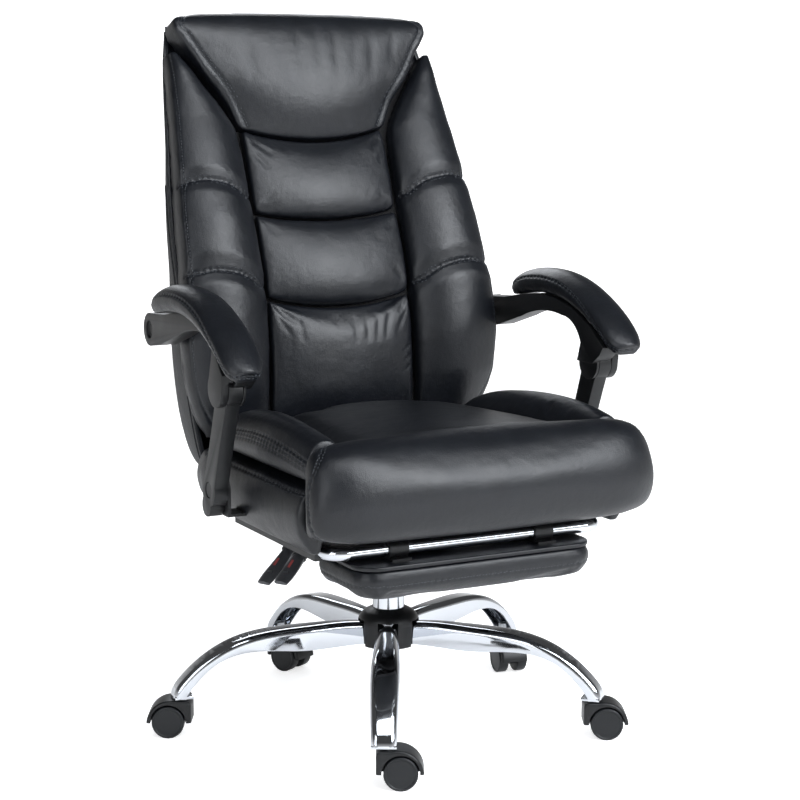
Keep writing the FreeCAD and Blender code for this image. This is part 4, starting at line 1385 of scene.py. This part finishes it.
@dataclass
class SeatUpholstery:
    """Seat cushion with its waterfall front, side pads and the lower layer."""

    finishes: Finishes
    roll_lift: float = 8.0
    lift_heights: tuple[float, float] = (352.0, 395.0)
    lift_depths: tuple[float, float] = (-305.0, -268.0)
    layer_top: float = 441.5
    roll_back: float = -262.0
    board_half: float = 244.0
    board_top: float = 368.0
    hem_top: float = 347.0
    seam_rows: tuple[float, float] = (-3.4, 3.4)

    def on_lower_layer(self, points: np.ndarray) -> np.ndarray:
        """Whether a point of the upper layer rests on the lower one."""
        return (points[:, 2] < self.layer_top * MM) & (points[:, 1] > self.roll_back * MM)

    def on_seat_board(self, points: np.ndarray) -> np.ndarray:
        """Whether a point of the lower layer rests on the board or is its hem, wrapped over the edge."""
        inner = np.abs(points[:, 0]) < self.board_half * MM
        return ((points[:, 2] < self.board_top * MM) & inner) | (points[:, 2] < self.hem_top * MM)

    def lift_roll(self, points: np.ndarray) -> np.ndarray:
        """Move the underside of the front roll up, so that the footrest's bar shows.

        Args:
            points: Rows of x, y and z in metres.

        Returns:
            The moved points.
        """
        _, y, z = points.T / MM
        rise = self.roll_lift * (1 - ease(z, *self.lift_heights)) * (1 - ease(y, *self.lift_depths))
        return points + np.outer(rise * MM, (0.0, 0.0, 1.0))

    def centre(self) -> Cushion:
        """The centre of the seat and its front roll, in one cover."""
        end = [(238, -280, 502), (256, -302, 492), (264, -308, 474), (269, -306, 450), (271, -306, 425),
               (269, -309, 400), (263, -313, 378), (255, -320, 364)]
        seam = Crease(end, 2.0, 3.2, self.seam_rows, 0.2)
        return Cushion("seat_centre_and_roll", ["seat_cushion"], "seat", self.lift_roll, self.on_lower_layer,
                       [seam, seam.mirrored()], voxel=5.5, soften=8, taken_in=2.5, cap=5.0, fill=0.9,
                       settle=14)

    def side_pads(self) -> Cushion:
        """The pads beside the seat's centre, with three rows of stitches on their outer side."""
        def row(drop: float) -> Crease:
            """One row, a drop below the highest."""
            stops = [(-262, 479), (-241, 482), (-200, 487), (-150, 491), (-100, 493), (-50, 491), (0, 486),
                     (50, 476), (85, 464)]
            return Crease([(267, y, z - drop) for y, z in stops], 1.2, 2.2, (0.0,), 0.5)

        return Cushion("seat_side_pad_cover_left", ["seat_side_pad_left"], "seat", None, self.on_lower_layer,
                       [row(0.0), row(8.0), row(15.0)], soften=8, taken_in=2.5, cap=6.0, fill=0.8,
                       twin="seat_side_pad_cover_right")

    def lower_layer(self) -> Cushion:
        """The lower layer, stitched along its upper edge."""
        edge = [(266, -264, 434), (270, -216, 433), (271, -155, 434), (272, -60, 434), (271, 40, 434),
                (266, 110, 432)]
        seam = Crease(edge, 1.8, 2.6, (-2.4, 2.4), 0.4)
        return Cushion("seat_lower_layer", ["seat_base_cushion"], "seat", None, self.on_seat_board,
                       [seam, seam.mirrored()], voxel=6.0, soften=5, taken_in=2.0, cap=4.0, fill=0.9)

    def cushions(self) -> list[Cushion]:
        """Every stuffed piece of the seat."""
        return [self.centre(), self.side_pads(), self.lower_layer()]


@dataclass
class Armrests:
    """Posts, moulded beams and padded tops."""

    finishes: Finishes
    pad_x: float = 317.0
    grip: float = 3.0

    def pad(self) -> Cushion:
        """The padded top, with a stitched line round it near its lower edge at the front."""
        outer = [(28, 126, 661), (30, 87, 678), (31, 28, 685), (31, -31, 680), (31, -86, 661),
                 (30, -136, 629), (26, -176, 598), (14, -194, 586), (0, -199, 584)]
        line = [(self.pad_x + x, y, z) for x, y, z in outer]
        line += [(self.pad_x - x, y, z) for x, y, z in reversed(outer[:-1])]
        seam = Crease(line, 1.6, 2.6, (-2.2, 2.2), 0.35)
        return Cushion("arm_pad_cover_left", ["arm_pad_left"], "armrest_left", None, self.on_beam, [seam],
                       voxel=4.0, soften=6, taken_in=2.0, cap=4.5, fill=0.9, twin="arm_pad_cover_right")

    def on_beam(self, points: np.ndarray) -> np.ndarray:
        """Whether a point lies on the beam under the pad."""
        y, z = points[:, 1] / MM, points[:, 2] / MM
        stops = [(-186, 579), (-166, 592), (-126, 621.5), (-75, 644.5), (-23, 657), (28, 659), (82, 653.5),
                 (119, 647.5), (127, 651)]
        low = np.interp(y, [s[0] for s in stops], [s[1] for s in stops])
        return z < low + self.grip

    def make(self) -> None:
        """Dress the posts and beams."""
        for side in Side:
            HardPart(f"arm_post_moulding_{side.word}", [f"arm_post_{side.word}"], f"post_{side.word}",
                     Slot.PLASTIC, 2.0, segments=3).make(self.finishes)
            HardPart(f"arm_beam_{side.word}", [f"arm_frame_{side.word}"], f"armrest_{side.word}",
                     Slot.PLASTIC, 2.0, segments=3).make(self.finishes)


@dataclass
class Footrest:
    """Padded board on the chrome bar."""

    finishes: Finishes
    middle: Point = (0.0, -217.0, 319.5)
    grow: Point = (1.022, 1.05, 1.0)
    board_foot: float = 314.0

    def board(self) -> None:
        """The board in its wrapped cover, grown until it is flush with the pad."""
        item = HardPart("footrest_board_cover", ["footrest_board"], "footrest_panel", Slot.LEATHER, 2.4,
                        segments=3).make(self.finishes)
        middle = Vector(self.middle) * MM
        place_mesh(item, Matrix.Translation(middle) @ Matrix.Diagonal((*self.grow, 1.0))
                   @ Matrix.Translation(-middle))

    def on_rest_board(self, points: np.ndarray) -> np.ndarray:
        """Whether a point lies against the footrest's board."""
        return points[:, 2] > self.board_foot * MM

    def pad(self) -> Cushion:
        """The footrest's pad, with a seam round its lower edge."""
        line = [(-160, -303.5, 293), (-100, -304, 293), (0, -304, 293), (100, -304, 293), (160, -303.5, 293)]
        left = [(160, -303.5, 293), (190, -294, 293), (198, -270, 293), (198, -200, 293), (196, -150, 293)]
        right = [(-x, y, z) for x, y, z in left]
        seams = [Crease(points, 1.2, 2.4, (0.0,), 0.3) for points in (line, left, right)]
        return Cushion("footrest_pad_cover", ["footrest_pad"], "footrest_panel", None, self.on_rest_board,
                       seams, voxel=5.0, soften=6, taken_in=2.0, cap=4.5, fill=0.8)


# Studio

@dataclass
class Lamp:
    """One soft area light, aimed at the middle of the chair."""

    name: str
    place: Point
    size: tuple[float, float]
    power: float
    # Daylight tubes in the softbox give the leather its cold highlights
    tint: Point = (0.95, 0.985, 1.03)

    def make(self, aim: Vector) -> None:
        """Add the light.

        Args:
            aim: Point that it is turned to.
        """
        data = bpy.data.lights.new(self.name, "AREA")
        data.shape = "RECTANGLE"
        data.size, data.size_y = self.size
        data.energy = self.power
        data.color = self.tint
        item = linked(self.name, data)
        item.location = self.place
        item.rotation_euler = (aim - Vector(self.place)).to_track_quat("-Z", "Y").to_euler()


@dataclass
class Studio:
    """Pale floor and backdrop, soft lights, white background and the camera."""

    lamps: tuple[Lamp, ...] = (
        Lamp("key_softbox", (1.25, -2.6, 2.2), (2.2, 2.2), 140.0),
        Lamp("fill_softbox", (-2.4, -1.5, 1.4), (1.4, 2.0), 22.0),
        Lamp("front_top_softbox", (-0.3, -1.7, 3.0), (2.0, 1.2), 36.0),
        Lamp("rear_softbox", (0.8, 2.4, 1.9), (1.6, 1.2), 20.0),
    )
    camera_place: Point = (-1.3572, -2.6718, 0.9742)
    camera_aim: Point = (0.45284, 0.87818, -0.15408)
    lens: float = 87.79
    sensor: float = 36.0
    ambient: float = 0.3
    mirror_share: float = 0.3
    # Reflections of the sky fade between two heights of the ray, from one strength to another
    sky_heights: tuple[float, float] = (0.02, 0.34)
    sky_strengths: tuple[float, float] = (0.7, 0.07)
    lamp_aim: Point = (0.0, -0.05, 0.6)
    paper_size: float = 14.0
    backdrop_place: Point = (1.9, 3.9, 3.0)

    def seen_share(self, tree: NodeTree) -> NodeSocket:
        """Tell the rays that see the background.

        Args:
            tree: Node tree that gets the nodes.

        Returns:
            1 for camera and transmission rays, and less for reflections in chrome.
        """
        path = add_node(tree, "LightPath")
        dim = maths(tree, "MULTIPLY", path.outputs["Is Glossy Ray"], self.mirror_share)
        two = maths(tree, "MAXIMUM", path.outputs["Is Camera Ray"], dim)
        return maths(tree, "MAXIMUM", two, path.outputs["Is Transmission Ray"])

    def floor_material(self, name: str, glow: float) -> Material:
        """Matt white paper that keeps the shadow and looks white to the camera.

        Args:
            name: Name of the material.
            glow: Light that the camera sees besides what falls on the paper.

        Returns:
            The material.
        """
        make = Shading(name)
        tree = make.tree
        fibre = add_node(tree, "TexNoise", {"Scale": 60.0, "Detail": 2.0}, {"Vector": make.place})
        tone = make.blend(fibre.outputs["Fac"], "#f1f1f1", "#f6f6f6")
        paper = add_node(tree, "BsdfDiffuse", links={"Color": tone})
        strength = maths(tree, "MULTIPLY", self.seen_share(tree), glow)
        light = add_node(tree, "Emission", links={"Strength": strength})
        both = add_node(tree, "AddShader", links={0: paper.outputs[0], 1: light.outputs[0]})
        add_node(tree, "OutputMaterial", links={"Surface": both.outputs[0]})
        return make.material

    def sweep(self) -> None:
        """Floor and a backdrop far behind the chair."""
        away = math.atan2(self.camera_aim[0], self.camera_aim[1])
        for name, place, turn, glow in (
                ("floor", (0, 0, 0), (0, 0, 0), 0.66),
                ("backdrop", self.backdrop_place, (math.pi / 2, 0, -away), 0.85)):
            deselect_all()
            bpy.ops.mesh.primitive_plane_add(size=self.paper_size, location=place, rotation=turn)
            item = bpy.context.active_object
            item.name = name
            bake_place(item)
            item.data.materials.append(self.floor_material(f"{name}_paper", glow))
            item.visible_glossy = name == "floor"

    def sky(self) -> None:
        """White to the camera, white near the horizon in reflections and dimmer overhead."""
        world = bpy.data.worlds.new("studio")
        bpy.context.scene.world = world
        world.use_nodes = True
        tree = world.node_tree
        tree.nodes.clear()
        path = add_node(tree, "LightPath")
        where = add_node(tree, "TexCoord")
        height = add_node(tree, "SeparateXYZ", links={0: where.outputs["Generated"]})
        mirrored = add_node(tree, "MapRange",
                            {"From Min": self.sky_heights[0], "From Max": self.sky_heights[1],
                             "To Min": self.sky_strengths[0], "To Max": self.sky_strengths[1]},
                            {"Value": height.outputs["Z"]})
        seen = maths(tree, "MAXIMUM", path.outputs["Is Camera Ray"], path.outputs["Is Transmission Ray"])
        glossy = add_node(tree, "Mix", {"data_type": "FLOAT", 2: self.ambient},
                          {0: path.outputs["Is Glossy Ray"], 3: mirrored.outputs["Result"]})
        strength = add_node(tree, "Mix", {"data_type": "FLOAT", 3: 1.0},
                            {0: seen, 2: glossy.outputs[0]})
        light = add_node(tree, "Background", {"Color": linear("#ffffff")},
                         {"Strength": strength.outputs[0]})
        add_node(tree, "OutputWorld", links={"Surface": light.outputs[0]})

    def camera(self) -> None:
        """The photograph's view."""
        data = bpy.data.cameras.new("camera")
        data.lens = self.lens
        data.sensor_width = self.sensor
        item = linked("camera", data)
        item.location = self.camera_place
        item.rotation_euler = Vector(self.camera_aim).to_track_quat("-Z", "Y").to_euler()
        bpy.context.scene.camera = item

    def make(self) -> None:
        """Set up the studio."""
        self.camera()
        self.sky()
        self.sweep()
        for lamp in self.lamps:
            lamp.make(Vector(self.lamp_aim))
        bpy.context.scene.view_settings.view_transform = "Standard"


def main() -> None:
    """Build the chair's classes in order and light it."""
    logging.basicConfig(level=logging.INFO, format="%(name)s %(message)s")
    finishes = Finishes()
    Studio().make()
    KeptNodes(finishes, {
        Slot.CHROME: "base_hub column_tube pressure_cylinder footrest_tube",
        Slot.ZINC: "caster_sockets thrust_bearing piston_rod recline_pin recline_lock_plates"
                   " height_lever_rod recline_lever_rod",
        # The arm post bolts take the black powder coat instead of zinc: painted shade for the dark recess
        # that they sit in
        Slot.PAINT: "footrest_rails arm_brackets arm_post_bolts back_crossbar footrest_clips",
        Slot.PLASTIC: "guide_bush",
        Slot.WOOD: "seat_board back_board",
    }).make()
    Base(finishes).make()
    Mechanism(finishes).make()
    armrests = Armrests(finishes)
    armrests.make()
    back = BackUpholstery(finishes)
    back.shell()
    seat = SeatUpholstery(finishes)
    footrest = Footrest(finishes)
    footrest.board()
    Workroom(finishes).make([*seat.cushions(), *back.cushions(), armrests.pad(), footrest.pad()])


if __name__ == "__main__":
    main()
